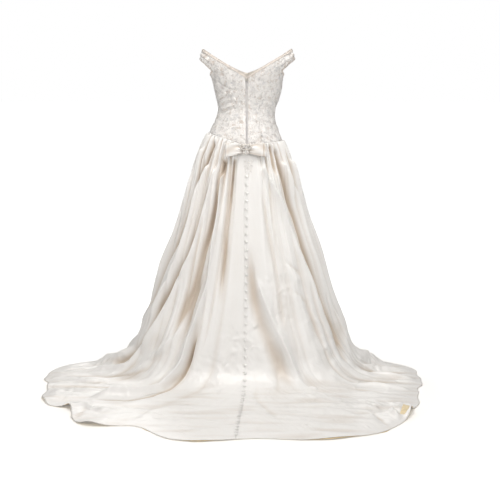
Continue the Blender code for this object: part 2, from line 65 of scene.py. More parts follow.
def stepLengths(grid, axis=0):
    return np.linalg.norm(np.diff(grid, axis=axis), axis=-1)


def travelAlong(path):
    return np.concatenate([[0], np.cumsum(stepLengths(path))])


def follow(at, travel, values):
    # the three columns of some values, read at other distances along a path
    return np.stack([np.interp(at, travel, values[:, k]) for k in range(3)], axis=1)


def tableAt(rows, place):
    # the columns of a table at any places, on a smooth curve through its rows
    rows = np.array(rows, float)
    at, values = rows[:, 0], rows[:, 1:]
    place = np.clip(place, at[0], at[-1])
    i = np.clip(np.searchsorted(at, place, side="right") - 1, 0, len(at) - 2)
    before, after = np.maximum(i - 1, 0), np.minimum(i + 2, len(at) - 1)
    span = at[i + 1] - at[i]
    t = ((place - at[i]) / span)[..., None]
    low, high = values[i], values[i + 1]
    span = span[..., None]
    riseLow = (high - values[before]) / (at[i + 1] - at[before])[..., None] * span
    riseHigh = (values[after] - low) / (at[after] - at[i])[..., None] * span
    out = low * (2 * t**3 - 3 * t**2 + 1) + high * (3 * t**2 - 2 * t**3)
    out += riseLow * (t**3 - 2 * t**2 + t) + riseHigh * (t**3 - t**2)
    return out


def gridNormals(grid):
    roundIt, downIt = np.gradient(grid, axis=1), np.gradient(grid, axis=0)
    normal = np.cross(roundIt, downIt)
    return normal / np.maximum(np.linalg.norm(normal, axis=-1, keepdims=True), 1e-12)


def ripples(points, wavelength, seed, stretch=(1, 1, 1), waves=22):
    # gentle random swells, about -1 to 1
    draw = np.random.default_rng(seed)
    total = np.zeros(points.shape[:-1])
    for _ in range(waves):
        way = draw.normal(size=3)
        way *= 2 * math.pi / wavelength * draw.uniform(0.6, 1.6) / np.linalg.norm(way)
        total += np.sin(points @ (way / np.array(stretch)) + draw.uniform(0, 2 * math.pi))
    return total / math.sqrt(waves / 2) / 1.6


def toPath(points, path):
    # distance from every point to a path, and the share of the path where it is nearest
    path = np.array(path, float)
    steps, starts = stepLengths(path), travelAlong(path)
    best = np.full(points.shape[:-1], 9.0)
    where = np.zeros(points.shape[:-1])
    for a, b, length, start in zip(path, path[1:], steps, starts):
        run = (b - a) / length
        t = np.clip((points - a) @ run, 0, length)
        gap = np.linalg.norm(points - a - t[..., None] * run, axis=-1)
        nearer = gap < best
        best = np.where(nearer, gap, best)
        where = np.where(nearer, (start + t) / starts[-1], where)
    return best, where


def newMesh(name, points, faces, materials):
    mesh = bpy.data.meshes.new(name)
    mesh.from_pydata([tuple(p) for p in points], [], faces)
    for material in materials:
        mesh.materials.append(material)
    piece = bpy.data.objects.new(name, mesh)
    bpy.context.scene.collection.objects.link(piece)
    mesh.shade_smooth()
    return piece


def clothPiece(name, grid, materials, thickness, **marks):
    # a sheet over a grid of points, with its own length and width as the UV map
    rows, columns = grid.shape[:2]
    corners = [j * columns + i for j in range(rows - 1) for i in range(columns - 1)]
    faces = [(a, a + 1, a + columns + 1, a + columns) for a in corners]
    piece = newMesh(name, grid.reshape(-1, 3), faces, materials)
    mesh = piece.data
    across = np.zeros((rows, columns))
    across[:, 1:] = np.cumsum(stepLengths(grid, 1), axis=1)
    across -= across[:, columns // 2][:, None]
    down = np.zeros((rows, columns))
    down[1:] = np.cumsum(stepLengths(grid), axis=0)
    uv = np.stack([across, down], axis=-1).reshape(-1, 2)
    corner = np.empty(len(mesh.loops), np.int32)
    mesh.loops.foreach_get("vertex_index", corner)
    layer = mesh.uv_layers.new(name="cloth")
    layer.uv.foreach_set("vector", uv[corner].astype(np.float32).ravel())
    for mark, values in marks.items():
        layer = mesh.attributes.new(mark, "FLOAT", "POINT")
        layer.data.foreach_set("value", values.ravel().astype(np.float32))
    wall = piece.modifiers.new("wall", "SOLIDIFY")
    wall.thickness = thickness
    wall.offset = -1
    wall.use_even_offset = False
    wall.material_offset = len(materials) - 1
    return piece


def keep(piece, slot, *nodes):
    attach(piece, "root")
    if nodes:
        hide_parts(*nodes)
    return piece


satinLook = {
    "ivory": (0.905, 0.899, 0.889),
    # shade is the colour of the shade painted into the satin's folds and pleats; random streaks also lean
    # towards it
    "shade": (0.60, 0.515, 0.43),
    "roughness": 0.38,
    "sheen": 0.06,
}
laceLook = {
    "thread": (0.88, 0.86, 0.84),
    "ground": (0.62, 0.555, 0.505),
    "cool": (0.61, 0.61, 0.62),
    "roughness": 0.50,
}


class Nodes:
    # short names for building a material's nodes
    def __init__(self, name):
        self.material = bpy.data.materials.new(name)
        self.material.use_nodes = True
        self.tree = self.material.node_tree
        self.shader = self.tree.nodes["Principled BSDF"]

    def add(self, kind, **values):
        node = self.tree.nodes.new(kind)
        for key, value in values.items():
            if hasattr(node, key):
                setattr(node, key, value)
            else:
                node.inputs[key.replace("_", " ")].default_value = value
        return node

    def link(self, a, b):
        self.tree.links.new(a, b)

    def attribute(self, name):
        return self.add("ShaderNodeAttribute", attribute_name=name).outputs["Fac"]

    def texture(self, kind, where, **values):
        node = self.add("ShaderNodeTex" + kind, **values)
        self.link(where, node.inputs["Vector"])
        return node

    def stretched(self, where, scale):
        node = self.add("ShaderNodeMapping")
        node.inputs["Scale"].default_value = scale
        self.link(where, node.inputs["Vector"])
        return node.outputs[0]

    def ramp(self, source, stops):
        node = self.add("ShaderNodeValToRGB")
        while len(node.color_ramp.elements) < len(stops):
            node.color_ramp.elements.new(0.5)
        for element, (place, colour) in zip(node.color_ramp.elements, stops):
            element.position = place
            element.color = (*colour, 1)
        self.link(source, node.inputs[0])
        return node.outputs[0]

    def mixColour(self, share, low, high):
        node = self.add("ShaderNodeMix", data_type="RGBA")
        for socket, value in ((0, share), (6, low), (7, high)):
            if isinstance(value, (int, float)):
                node.inputs[socket].default_value = value
            elif isinstance(value, tuple):
                node.inputs[socket].default_value = (*value, 1)
            else:
                self.link(value, node.inputs[socket])
        return node.outputs[2]

    def math(self, operation, a, b=0.5):
        node = self.add("ShaderNodeMath", operation=operation)
        for socket, value in ((0, a), (1, b)):
            if isinstance(value, (int, float)):
                node.inputs[socket].default_value = value
            else:
                self.link(value, node.inputs[socket])
        return node.outputs[0]

    def bump(self, height, strength, distance, normal=None):
        node = self.add("ShaderNodeBump", Strength=strength, Distance=distance)
        self.link(height, node.inputs["Height"])
        if normal is not None:
            self.link(normal, node.inputs["Normal"])
        return node.outputs[0]

    def finish(self, **values):
        for key, value in values.items():
            self.shader.inputs[key.replace("_", " ")].default_value = value
        return self.material


def makeSatin(name, look):
    n = Nodes(name)
    cloth = n.add("ShaderNodeUVMap", uv_map="cloth").outputs[0]
    where = n.add("ShaderNodeTexCoord").outputs["Object"]
    cloudy = n.texture("Noise", where, Scale=5.0, Detail=3.0)
    clouds = n.math("MULTIPLY", n.math("SUBTRACT", cloudy.outputs[0], 0.5), 0.30)
    # painted shade: the colour runs from ivory towards the shade colour where the folds paint shade, with
    # random cloudy tone added
    depth = n.math("ADD", n.attribute("hollow"), clouds)
    between = tuple(mix(np.array(look["ivory"]), np.array(look["shade"]), 0.55))
    colour = n.ramp(depth, ((0.0, look["ivory"]), (0.55, between), (1.0, look["shade"])))
    streak = n.texture("Noise", n.stretched(cloth, (160, 9, 1)), Scale=1.0, Detail=4.0)
    colour = n.mixColour(n.math("MULTIPLY", streak.outputs[0], 0.10), colour, look["shade"])
    n.link(colour, n.shader.inputs["Base Color"])
    rough = n.add("ShaderNodeMapRange", To_Min=look["roughness"] - 0.02, To_Max=look["roughness"] + 0.05)
    n.link(streak.outputs[0], rough.inputs["Value"])
    n.link(rough.outputs[0], n.shader.inputs["Roughness"])
    crinkle = n.texture("Noise", where, Scale=38.0, Detail=5.0, Roughness=0.55, Distortion=0.6)
    normal = n.bump(crinkle.outputs[0], 0.16, 0.004)
    # fine streaks along the cloth
    pulled = n.texture("Noise", n.stretched(cloth, (58, 3.2, 1)), Scale=1.0, Detail=3.0, Distortion=0.3)
    inPlaces = n.ramp(cloudy.outputs[0], ((0.40, (0.25, 0.25, 0.25)), (0.60, (1, 1, 1))))
    normal = n.bump(n.math("MULTIPLY", pulled.outputs[0], inPlaces), 0.45, 0.0045, normal)
    ridged = {"noise_type": "RIDGED_MULTIFRACTAL", "Scale": 17.0, "Detail": 3.0, "Distortion": 0.8}
    crumple = n.texture("Noise", where, **ridged)
    normal = n.bump(n.math("MULTIPLY", crumple.outputs[0], n.attribute("crumple")), 0.9, 0.0070, normal)
    fromStitch = n.math("ABSOLUTE", n.math("SUBTRACT", n.attribute("fromHem"), 0.022), 0)
    stitchLine = n.math("SUBTRACT", 1.0, n.math("MULTIPLY", fromStitch, 700.0))
    normal = n.bump(n.math("MAXIMUM", stitchLine, 0.0), -0.5, 0.0008, normal)
    twill = n.texture("Wave", cloth, Scale=420.0, Distortion=0.4)
    normal = n.bump(twill.outputs["Fac"], 0.10, 0.0003, normal)
    n.link(normal, n.shader.inputs["Normal"])
    return n.finish(
        Sheen_Weight=look["sheen"], Sheen_Roughness=0.35, Specular_IOR_Level=0.8, Anisotropic=0.4,
        Coat_Weight=0.08, Coat_Roughness=0.30,
    )


def makeLace(name, look):
    n = Nodes(name)
    where = n.add("ShaderNodeTexCoord").outputs["Object"]
    swirl = n.texture("Noise", where, Scale=42.0, Detail=2.0, Distortion=1.2)
    net = n.texture("Voronoi", where, feature="DISTANCE_TO_EDGE", Scale=330.0)
    sprig = n.texture("Voronoi", where, feature="SMOOTH_F1", Scale=85.0, Smoothness=0.4)
    stitched = n.math("MULTIPLY", sprig.outputs[0], 0.8)
    stitched = n.math("ADD", stitched, n.math("MULTIPLY", swirl.outputs[0], 0.7))
    patches = n.texture("Noise", where, Scale=30.0, Detail=2.0)
    ground = n.ramp(patches.outputs[0], ((0.40, look["ground"]), (0.60, look["cool"])))
    bloom = n.texture("Noise", where, Scale=62.0, Detail=2.0, Distortion=0.8)
    petals = n.ramp(bloom.outputs[0], ((0.42, (0, 0, 0)), (0.58, (1, 1, 1))))
    stitched = n.math("ADD", n.math("MULTIPLY", stitched, 0.45), n.math("MULTIPLY", petals, 0.50))
    colour = n.mixColour(n.ramp(stitched, ((0.22, (0, 0, 0)), (0.72, (1, 1, 1)))), ground, look["thread"])
    n.link(colour, n.shader.inputs["Base Color"])
    normal = n.bump(stitched, 0.5, 0.0022)
    normal = n.bump(net.outputs[0], 0.25, 0.0006, normal)
    n.link(normal, n.shader.inputs["Normal"])
    return n.finish(Roughness=look["roughness"], Sheen_Weight=0.15, Specular_IOR_Level=0.45)


def makeThread(name, colour, roughness, bumpScale=900.0, sheen=0.2):
    n = Nodes(name)
    where = n.add("ShaderNodeTexCoord").outputs["Object"]
    strands = n.texture("Noise", where, Scale=bumpScale, Detail=2.0)
    dull = tuple(0.84 * c for c in colour)
    patch = n.texture("Noise", where, Scale=70.0, Detail=2.0)
    n.link(n.ramp(patch.outputs[0], ((0.35, dull), (0.62, colour))), n.shader.inputs["Base Color"])
    n.link(n.bump(strands.outputs[0], 0.4, 0.0004), n.shader.inputs["Normal"])
    return n.finish(Roughness=roughness, Sheen_Weight=sheen)


def makeBead(name, colour, roughness, metallic, coat):
    n = Nodes(name)
    where = n.add("ShaderNodeTexCoord").outputs["Object"]
    lustre = n.texture("Noise", where, Scale=260.0, Detail=1.0)
    warm = tuple(c * k for c, k in zip(colour, (1.0, 0.96, 0.92)))
    n.link(n.ramp(lustre.outputs[0], ((0.35, warm), (0.65, colour))), n.shader.inputs["Base Color"])
    return n.finish(Roughness=roughness, Metallic=metallic, Coat_Weight=coat, Coat_Roughness=0.08)


satin = makeSatin("bridalSatin", satinLook)
lining = makeThread("liningCloth", (0.80, 0.66, 0.41), 0.5, 500.0)
lace = makeLace("embroideredLace", laceLook)
stitch = makeThread("laceThread", (0.86, 0.845, 0.83), 0.40)
silver = makeThread("laceSilverThread", (0.74, 0.73, 0.72), 0.38, 900.0, 0.1)
edging = makeThread("pipedEdge", (0.80, 0.73, 0.67), 0.40)
bodiceLining = makeThread("bodiceLining", (0.80, 0.76, 0.70), 0.5, 500.0)
zipTape = makeThread("zipTape", (0.80, 0.78, 0.78), 0.6)
zipCoil = makeThread("zipCoil", (0.72, 0.71, 0.72), 0.35, 400.0, 0.0)
zipMetal = makeBead("zipMetal", (0.62, 0.61, 0.59), 0.3, 0.9, 0.0)
pearl = makeBead("pearl", (0.90, 0.88, 0.85), 0.2, 0.0, 0.6)
crystal = makeBead("crystal", (0.80, 0.81, 0.83), 0.06, 0.35, 0.8)
beadSetting = makeBead("beadSetting", (0.70, 0.68, 0.65), 0.28, 0.75, 0.2)
print("materials ready")


torso = {
    # height, left, right, back, front
    "rings": (
        (-0.170, 0.168, 0.158, 0.142, 0.128),
        (-0.130, 0.166, 0.150, 0.134, 0.122),
        (-0.090, 0.157, 0.135, 0.120, 0.112),
        (-0.045, 0.134, 0.119, 0.102, 0.100),
        (0.000, 0.120, 0.118, 0.090, 0.094),
        (0.040, 0.124, 0.131, 0.091, 0.102),
        (0.085, 0.133, 0.142, 0.098, 0.114),
        (0.120, 0.142, 0.147, 0.104, 0.120),
        (0.150, 0.155, 0.156, 0.106, 0.118),
        (0.185, 0.181, 0.182, 0.103, 0.110),
        (0.215, 0.196, 0.200, 0.097, 0.100),
        (0.255, 0.184, 0.186, 0.086, 0.086),
    ),
    "squareness": 2.3,
    "cup": (0.070, 0.098, 0.022, 0.048),  # to the side, height, rise, span
    "waistSeam": (  # angle, height
        (-180, -0.150), (-135, -0.132), (-90, -0.121), (-45, -0.127), (-18, -0.133), (0, -0.141),
        (18, -0.126), (45, -0.107), (90, -0.091), (135, -0.114), (180, -0.150),
    ),
    "princess": (  # height, back seam, front seam
        (-0.160, 26, 157), (-0.050, 28, 157), (0.000, 31, 156), (0.070, 43, 152),
        (0.110, 53, 142), (0.162, 68, 114),
    ),
    "backPoint": 0.140, "frontPoint": 0.150, "shoulder": 0.252, "shoulderReach": 0.184,
    "backSlope": 0.600, "frontPower": 1.3, "underarm": 0.146,
    "bandFoot": 0.162, "bandCrest": 0.211,
    "backNeck": 57.0, "backArm": 68.0, "frontNeck": 125.0, "frontArm": 114.0, "sideSeam": 92.0,
    "zipHalf": 0.0060, "zipTop": 0.123, "thickness": 0.0020,
}


def torsoRadius(angle, height):
    left, right, back, front = np.moveaxis(tableAt(torso["rings"], height), -1, 0)
    across, along = np.sin(np.radians(angle)), np.cos(np.radians(angle))
    halfWidth = np.where(across > 0, left, right)
    depth = np.where(along > 0, back, front)
    power = torso["squareness"]
    radius = ((np.abs(across) / halfWidth) ** power + (np.abs(along) / depth) ** power) ** (-1 / power)
    side, level, rise, span = torso["cup"]
    off = (np.abs(across) * radius - side) ** 2 + (height - level) ** 2
    return radius + np.where(along < 0, rise * np.exp(-off / span**2), 0.0)


def torsoPoint(angle, height):
    angle, height = np.broadcast_arrays(np.asarray(angle, float), np.asarray(height, float))
    radius = torsoRadius(angle, height)
    turn = np.radians(angle)
    return np.stack([radius * np.sin(turn), radius * np.cos(turn), height], axis=-1)


def torsoNormal(angle, height):
    roundIt = torsoPoint(angle + 0.5, height) - torsoPoint(angle - 0.5, height)
    downIt = torsoPoint(angle, height - 0.001) - torsoPoint(angle, height + 0.001)
    return unit(np.cross(roundIt, downIt))


def halfTurn(angle):
    return (angle + 180.0) % 360.0 - 180.0


def waistSeam(angle):
    return tableAt(torso["waistSeam"], halfTurn(np.asarray(angle, float)))[..., 0]


def neckline(angle):
    angle = np.abs(halfTurn(np.asarray(angle, float)))
    height = np.full(angle.shape, torso["backPoint"])
    full = torso["shoulder"] - torso["frontPoint"]
    for _ in range(10):
        reach = torsoRadius(angle, height) * np.sin(np.radians(angle))
        back = torso["backPoint"] + torso["backSlope"] * reach
        rise = full * (np.abs(reach) / torso["shoulderReach"]) ** torso["frontPower"]
        height = np.minimum(np.where(angle < 90, back, torso["frontPoint"] + rise), torso["shoulder"])
    return height


def bodiceTop(angle):
    angle = np.abs(halfTurn(np.asarray(angle, float)))
    height = neckline(angle)
    for neck, arm in (("backNeck", "backArm"), ("frontNeck", "frontArm")):
        neck, arm = torso[neck], torso[arm]
        inside = (angle >= min(neck, arm)) & (angle <= max(neck, arm))
        slant = mix(neckline(neck), torso["bandFoot"], (angle - neck) / (arm - neck))
        height = np.where(inside, slant, height)
    share = (angle - torso["backArm"]) / (torso["frontArm"] - torso["backArm"])
    dip = mix(torso["bandFoot"], torso["underarm"], np.sin(math.pi * np.clip(share, 0, 1)))
    return np.where((share > 0) & (share < 1), dip, height)


def bandFoot(share):
    return mix(torso["bandFoot"], torso["bandCrest"], np.sin(math.pi * np.clip(share, 0, 1)) ** 0.9)


def seamAngle(seam, side, height):
    height = np.asarray(height, float)
    if seam == "zip":
        return side * np.degrees(torso["zipHalf"] / torsoRadius(np.zeros(height.shape), height))
    if seam == "side":
        return np.full(height.shape, side * torso["sideSeam"])
    return side * tableAt(torso["princess"], height)[..., 0 if seam == "back" else 1]


def seamEnd(seam, side, edge):
    height = 0.15 if edge is bodiceTop else -0.12
    for _ in range(30):
        height = mix(height, edge(seamAngle(seam, side, height)), 0.5)
    return float(seamAngle(seam, side, height))


# Drag creases and soft dents of the bodice: rise, width, then angle and height of each point.
bodiceCreases = (
    (0.0045, 0.0040, ((84, 0.048), (66, 0.062), (50, 0.070), (38, 0.072))),
    (-0.0045, 0.0036, ((84, 0.036), (64, 0.050), (48, 0.058), (34, 0.060))),
    (0.0042, 0.0040, ((82, 0.022), (62, 0.036), (46, 0.046), (30, 0.050))),
    (-0.0045, 0.0036, ((80, 0.010), (60, 0.022), (44, 0.034), (26, 0.038))),
    (0.0039, 0.0036, ((78, -0.004), (58, 0.008), (40, 0.022), (22, 0.026))),
    (-0.0036, 0.0036, ((74, -0.016), (52, -0.004), (34, 0.010), (18, 0.014))),
    (-0.0039, 0.0045, ((62, 0.120), (48, 0.098), (36, 0.088), (24, 0.086))),
    (-0.0036, 0.0036, ((-80, 0.030), (-62, 0.040), (-46, 0.044))),
    (0.0033, 0.0036, ((-80, 0.018), (-60, 0.028), (-44, 0.034))),
    (-0.0033, 0.0036, ((-76, 0.004), (-56, 0.014), (-40, 0.022))),
    (0.0024, 0.0054, ((12, -0.02), (20, 0.02), (30, 0.05), (44, 0.09))),
)


def bodiceRise(points):
    rise = 0.0007 * ripples(points, 0.035, 21)
    for height, width, path in bodiceCreases:
        angles, heights = np.array(path, float).T
        gap, share = toPath(points, torsoPoint(angles, heights))
        rise += height * np.exp(-((gap / width) ** 1.6)) * np.sin(math.pi * np.clip(share, 0.04, 0.96)) ** 0.5
    return rise


def panelGrid(left, right, columns, rows):
    low, high = seamEnd(*left, bodiceTop), seamEnd(*right, bodiceTop)
    footLow, footHigh = seamEnd(*left, waistSeam), seamEnd(*right, waistSeam)
    turn = 360 if high < low else 0
    shares = np.linspace(0, 1, columns)
    # a column runs exactly where the top edge turns a corner
    corners = (torso["backNeck"], torso["frontNeck"])
    for kink in [sign * corner + whole for sign, whole in ((1, 0), (-1, 0), (-1, 360)) for corner in corners]:
        share = (kink - low) / (high + turn - low)
        if 0.02 < share < 0.98:
            shares[np.argmin(np.abs(shares - share))] = share
    across, down = np.meshgrid(shares, np.linspace(0, 1, rows))
    top, foot = bodiceTop(mix(low, high + turn, across)), waistSeam(mix(footLow, footHigh + turn, across))
    height = mix(top, foot, down)
    angle = mix(seamAngle(*left, height), seamAngle(*right, height) + turn, across)
    return torsoPoint(angle, height)


def seamDip(grid, depth, width):
    # cloth turns in a little at its seams
    fromLeft = np.linalg.norm(grid - grid[:, :1], axis=-1)
    fromRight = np.linalg.norm(grid - grid[:, -1:], axis=-1)
    return -depth * np.exp(-((np.minimum(fromLeft, fromRight) / width) ** 2))


def bodicePanel(name, left, right, columns, node):
    grid = panelGrid(left, right, columns, 110)
    grid = grid + gridNormals(grid) * (bodiceRise(grid) + seamDip(grid, 0.0010, 0.003))[..., None]
    piece = clothPiece(name, grid, [lace, bodiceLining], torso["thickness"])
    keep(piece, "lace", node)


sides = (("Left", 1), ("Right", -1))
for word, side in sides:
    for name, node, ends, columns in (
        ("Back", "back", (("zip", side), ("back", side)), 56),
        ("SideBack", "side_back", (("back", side), ("side", side)), 46),
        ("SideFront", "side_front", (("side", side), ("front", side)), 46),
    ):
        if side < 0:
            ends = ends[::-1]
        bodicePanel("bodice" + name + word, *ends, columns, f"bodice_{node}_{word.lower()}")
bodicePanel("bodiceFront", ("front", 1), ("front", -1), 90, "bodice_front")

for word, side in sides:
    along, down = np.meshgrid(np.linspace(0, 1, 90), np.linspace(0, 1, 30))
    if side < 0:
        along = 1 - along
    top = mix(torso["backNeck"], torso["frontNeck"], along)
    foot = mix(torso["backArm"], torso["frontArm"], along)
    height = mix(neckline(top), bandFoot(along), down)
    grid = torsoPoint(side * mix(top, foot, down), height)
    pleat = 0.0014 * np.sin(down * 2 * math.pi * 2.5 + 1.2 * np.sin(along * 7)) * np.sin(math.pi * down)
    grid = grid + gridNormals(grid) * (pleat + 0.0006 * ripples(grid, 0.03, 5))[..., None]
    piece = clothPiece("shoulderBand" + word, grid, [lace, bodiceLining], torso["thickness"])
    keep(piece, "lace", f"shoulder_band_{word.lower()}")
print("bodice made")


skirt = {
    "rest": 0.0030,  # outer face above the floor
    "thickness": 0.0013,
    "waistGap": 0.0006,
    "bend": 0.120,
    "room": 0.0035,  # below the cloth where it lies
    # angle, where the fall meets the floor, hem
    "plan": (
        (-180, 0.450, 0.450), (-140, 0.470, 0.470), (-117, 0.482, 0.487), (-102, 0.488, 0.590),
        (-88, 0.490, 0.710), (-75, 0.480, 0.745), (-55, 0.450, 0.830), (-42, 0.420, 0.950),
        (-30, 0.395, 1.075), (-15, 0.375, 1.115), (0, 0.365, 1.075), (12, 0.370, 1.115),
        (24, 0.385, 1.010), (34, 0.405, 1.075), (44, 0.425, 0.965), (52, 0.450, 0.985),
        (64, 0.485, 0.895), (78, 0.520, 0.855), (90, 0.530, 0.805), (103, 0.523, 0.640),
        (118, 0.503, 0.510), (140, 0.475, 0.475), (180, 0.450, 0.450),
    ),
    # how far down, how far out
    "fall": (
        (0.00, 0.000), (0.06, 0.090), (0.14, 0.175), (0.30, 0.295), (0.50, 0.480),
        (0.70, 0.660), (0.85, 0.830), (1.00, 1.000),
    ),
    # line of the cloth at the waist, and at the hem
    "spread": (
        (-180, -180), (-146, -146), (-86, -92), (-30, -40), (0, 2), (30, 40), (86, 90),
        (146, 146), (180, 180),
    ),
}

# Folds: rise out of the cloth (a hollow is negative), width at each end, then its path as
# cloth lines (degrees at the waist) and levels (0 at the waist seam, 1 at the hem).
folds = (
    (-0.020, 0.009, 0.016, (
        (18, 0.035), (19, 0.080), (20, 0.145), (21, 0.225), (20, 0.295), (20, 0.350), (18, 0.420),
    )),
    (-0.026, 0.011, 0.022, (
        (33, 0.045), (34, 0.115), (37, 0.170), (38, 0.235), (40, 0.295), (41, 0.355), (42, 0.410), (44, 0.445),
        (46, 0.490), (48, 0.550),
    )),
    (0.040, 0.008, 0.016, (
        (33, 0.075), (31, 0.175), (31, 0.270), (30, 0.345), (32, 0.400), (33, 0.455), (35, 0.520), (35, 0.560),
        (35, 0.595), (35, 0.645), (34, 0.695), (32, 0.745), (33, 0.815), (38, 0.865), (44, 0.900),
    )),
    (-0.013, 0.009, 0.015, ((33, 0.305), (38, 0.400), (40, 0.460), (39, 0.515), (39, 0.570))),
    (0.024, 0.010, 0.020, (
        (42, 0.070), (45, 0.140), (47, 0.210), (49, 0.270), (50, 0.325), (55, 0.405), (58, 0.480), (61, 0.550),
        (64, 0.615), (67, 0.660), (68, 0.695), (69, 0.740), (75, 0.810), (81, 0.915),
    )),
    (-0.026, 0.010, 0.020, (
        (46, 0.095), (50, 0.165), (51, 0.230), (53, 0.290), (55, 0.340), (60, 0.410), (63, 0.465), (67, 0.525),
        (68, 0.585), (70, 0.635), (76, 0.710), (84, 0.800), (91, 0.920),
    )),
    (0.015, 0.012, 0.016, (
        (41, 0.480), (43, 0.505), (47, 0.550), (52, 0.600), (57, 0.655), (59, 0.705), (62, 0.755), (65, 0.830),
    )),
    (0.016, 0.009, 0.014, (
        (56, 0.075), (61, 0.160), (62, 0.250), (62, 0.325), (63, 0.375), (66, 0.425), (70, 0.495), (72, 0.540),
        (78, 0.620),
    )),
    (-0.028, 0.010, 0.018, (
        (55, 0.010), (60, 0.070), (65, 0.135), (69, 0.200), (70, 0.265), (72, 0.325), (76, 0.385), (79, 0.430),
        (81, 0.475), (84, 0.525), (89, 0.590), (95, 0.680),
    )),
    (0.018, 0.012, 0.018, ((72, 0.040), (78, 0.150), (82, 0.300), (86, 0.450), (91, 0.600), (96, 0.760))),
    (-0.024, 0.006, 0.011, (
        (30, 0.455), (32, 0.520), (32, 0.560), (32, 0.600), (31.5, 0.645), (30, 0.695), (28.5, 0.750),
        (30, 0.825), (34, 0.880), (41, 0.925),
    )),
    (-0.017, 0.012, 0.020, ((50, 0.640), (58, 0.720), (64, 0.780), (69, 0.850), (73, 0.960))),
    (0.017, 0.010, 0.013, ((58, 0.800), (59, 0.860), (64, 0.930), (68, 0.990))),
    (-0.014, 0.010, 0.015, ((42, 0.700), (47, 0.780), (52, 0.860), (57, 0.930), (62, 0.990))),
    (0.016, 0.010, 0.013, ((45, 0.800), (48, 0.880), (52, 0.940), (56, 0.995))),
    (-0.016, 0.010, 0.014, ((76, 0.780), (80, 0.860), (82, 0.940), (83, 1.000))),
    (0.016, 0.010, 0.013, ((72, 0.780), (77, 0.860), (78, 0.940), (79, 1.000))),
    (0.016, 0.016, 0.022, ((26, 0.845), (27, 0.905), (32, 0.950), (38, 0.955))),
    (-0.012, 0.010, 0.013, ((33, 0.950), (30, 0.970), (27, 1.000))),
    (-0.030, 0.011, 0.026, (
        (-47, 0.015), (-49, 0.060), (-51, 0.110), (-53, 0.160), (-56, 0.230), (-56, 0.300), (-56, 0.370),
        (-58, 0.440), (-59, 0.505), (-60, 0.565), (-62, 0.620), (-62, 0.670), (-60, 0.745),
    )),
    (0.018, 0.009, 0.014, (
        (-53, 0.055), (-59, 0.115), (-66, 0.195), (-66, 0.260), (-66, 0.360), (-67, 0.465), (-70, 0.545),
        (-72, 0.610), (-72, 0.675), (-68, 0.765),
    )),
    (0.022, 0.010, 0.020, (
        (-21, 0.050), (-32, 0.105), (-39, 0.155), (-43, 0.205), (-46, 0.260), (-47, 0.310), (-50, 0.360),
        (-52, 0.425), (-55, 0.490), (-58, 0.550), (-59, 0.615), (-60, 0.685),
    )),
    (-0.016, 0.008, 0.011, ((-39, 0.010), (-38, 0.050), (-40, 0.095))),
    (-0.009, 0.009, 0.015, (
        (-17, 0.085), (-21, 0.170), (-23, 0.235), (-24, 0.295), (-24, 0.355), (-24, 0.430), (-23, 0.490),
    )),
    (-0.017, 0.016, 0.036, (
        (-3, 0.230), (-4, 0.300), (-6, 0.365), (-9, 0.405), (-12, 0.440), (-15, 0.475), (-18, 0.515),
        (-19, 0.560), (-20, 0.640),
    )),
    (0.020, 0.010, 0.018, (
        (-6, 0.290), (-12, 0.360), (-17, 0.415), (-21, 0.470), (-24, 0.525), (-25, 0.580), (-25, 0.650),
    )),
    (-0.008, 0.007, 0.010, ((-33, 0.300), (-41, 0.350), (-47, 0.400))),
    (-0.009, 0.009, 0.015, ((-30, 0.365), (-40, 0.420), (-44, 0.460), (-45, 0.530), (-46, 0.620))),
    (0.020, 0.011, 0.014, ((-60, 0.770), (-65, 0.860), (-64, 0.930), (-62, 0.990))),
    (-0.018, 0.012, 0.018, ((-64, 0.740), (-70, 0.830), (-72, 0.910), (-71, 0.990))),
    (0.016, 0.010, 0.013, ((-70, 0.760), (-76, 0.850), (-78, 0.930), (-78, 0.990))),
    (-0.020, 0.011, 0.016, ((-76, 0.770), (-81, 0.850), (-83, 0.920), (-84, 1.000))),
    (-0.015, 0.011, 0.017, ((-50, 0.740), (-54, 0.830), (-56, 0.920), (-55, 0.990))),
    (0.014, 0.010, 0.014, ((-44, 0.760), (-47, 0.850), (-48, 0.940), (-46, 0.990))),
    (-0.012, 0.010, 0.014, ((-38, 0.760), (-40, 0.860), (-40, 0.930))),
    (0.012, 0.018, 0.020, ((-24, 0.820), (-26, 0.860), (-26, 0.905))),
    (-0.006, 0.012, 0.016, ((-6, 0.560), (-4, 0.660), (-6, 0.765), (-8, 0.900))),
    (-0.006, 0.009, 0.012, ((-17, 0.540), (-12, 0.640))),
    (0.010, 0.009, 0.011, ((-26, 0.635), (-28, 0.680))),
    (-0.014, 0.010, 0.013, ((-24, 0.895), (-22, 0.960), (-21, 1.000))),
    (0.020, 0.010, 0.013, ((-29, 0.915), (-27, 0.950), (-24, 0.990))),
    (-0.014, 0.009, 0.011, ((-31, 0.960), (-27, 0.985), (-26, 1.000))),
    (-0.018, 0.011, 0.018, ((-82, 0.050), (-84, 0.200), (-86, 0.400), (-88, 0.600), (-90, 0.800))),
    (0.016, 0.011, 0.018, ((-76, 0.060), (-78, 0.200), (-80, 0.400), (-80, 0.600), (-82, 0.760))),
    # cloth bunched up at the far corners of the train
    (0.050, 0.034, 0.036, ((78, 0.690), (84, 0.760), (88, 0.830), (91, 0.900), (92, 0.960))),
    (0.030, 0.020, 0.022, ((92, 0.700), (96, 0.780), (97, 0.860), (98, 0.940))),
    (-0.026, 0.014, 0.016, ((86, 0.700), (90, 0.780), (93, 0.860), (94, 0.940))),
    (0.044, 0.028, 0.030, ((-78, 0.700), (-84, 0.780), (-88, 0.860), (-90, 0.980))),
    (-0.016, 0.010, 0.012, ((-84, 0.800), (-88, 0.870), (-91, 0.940))),
)
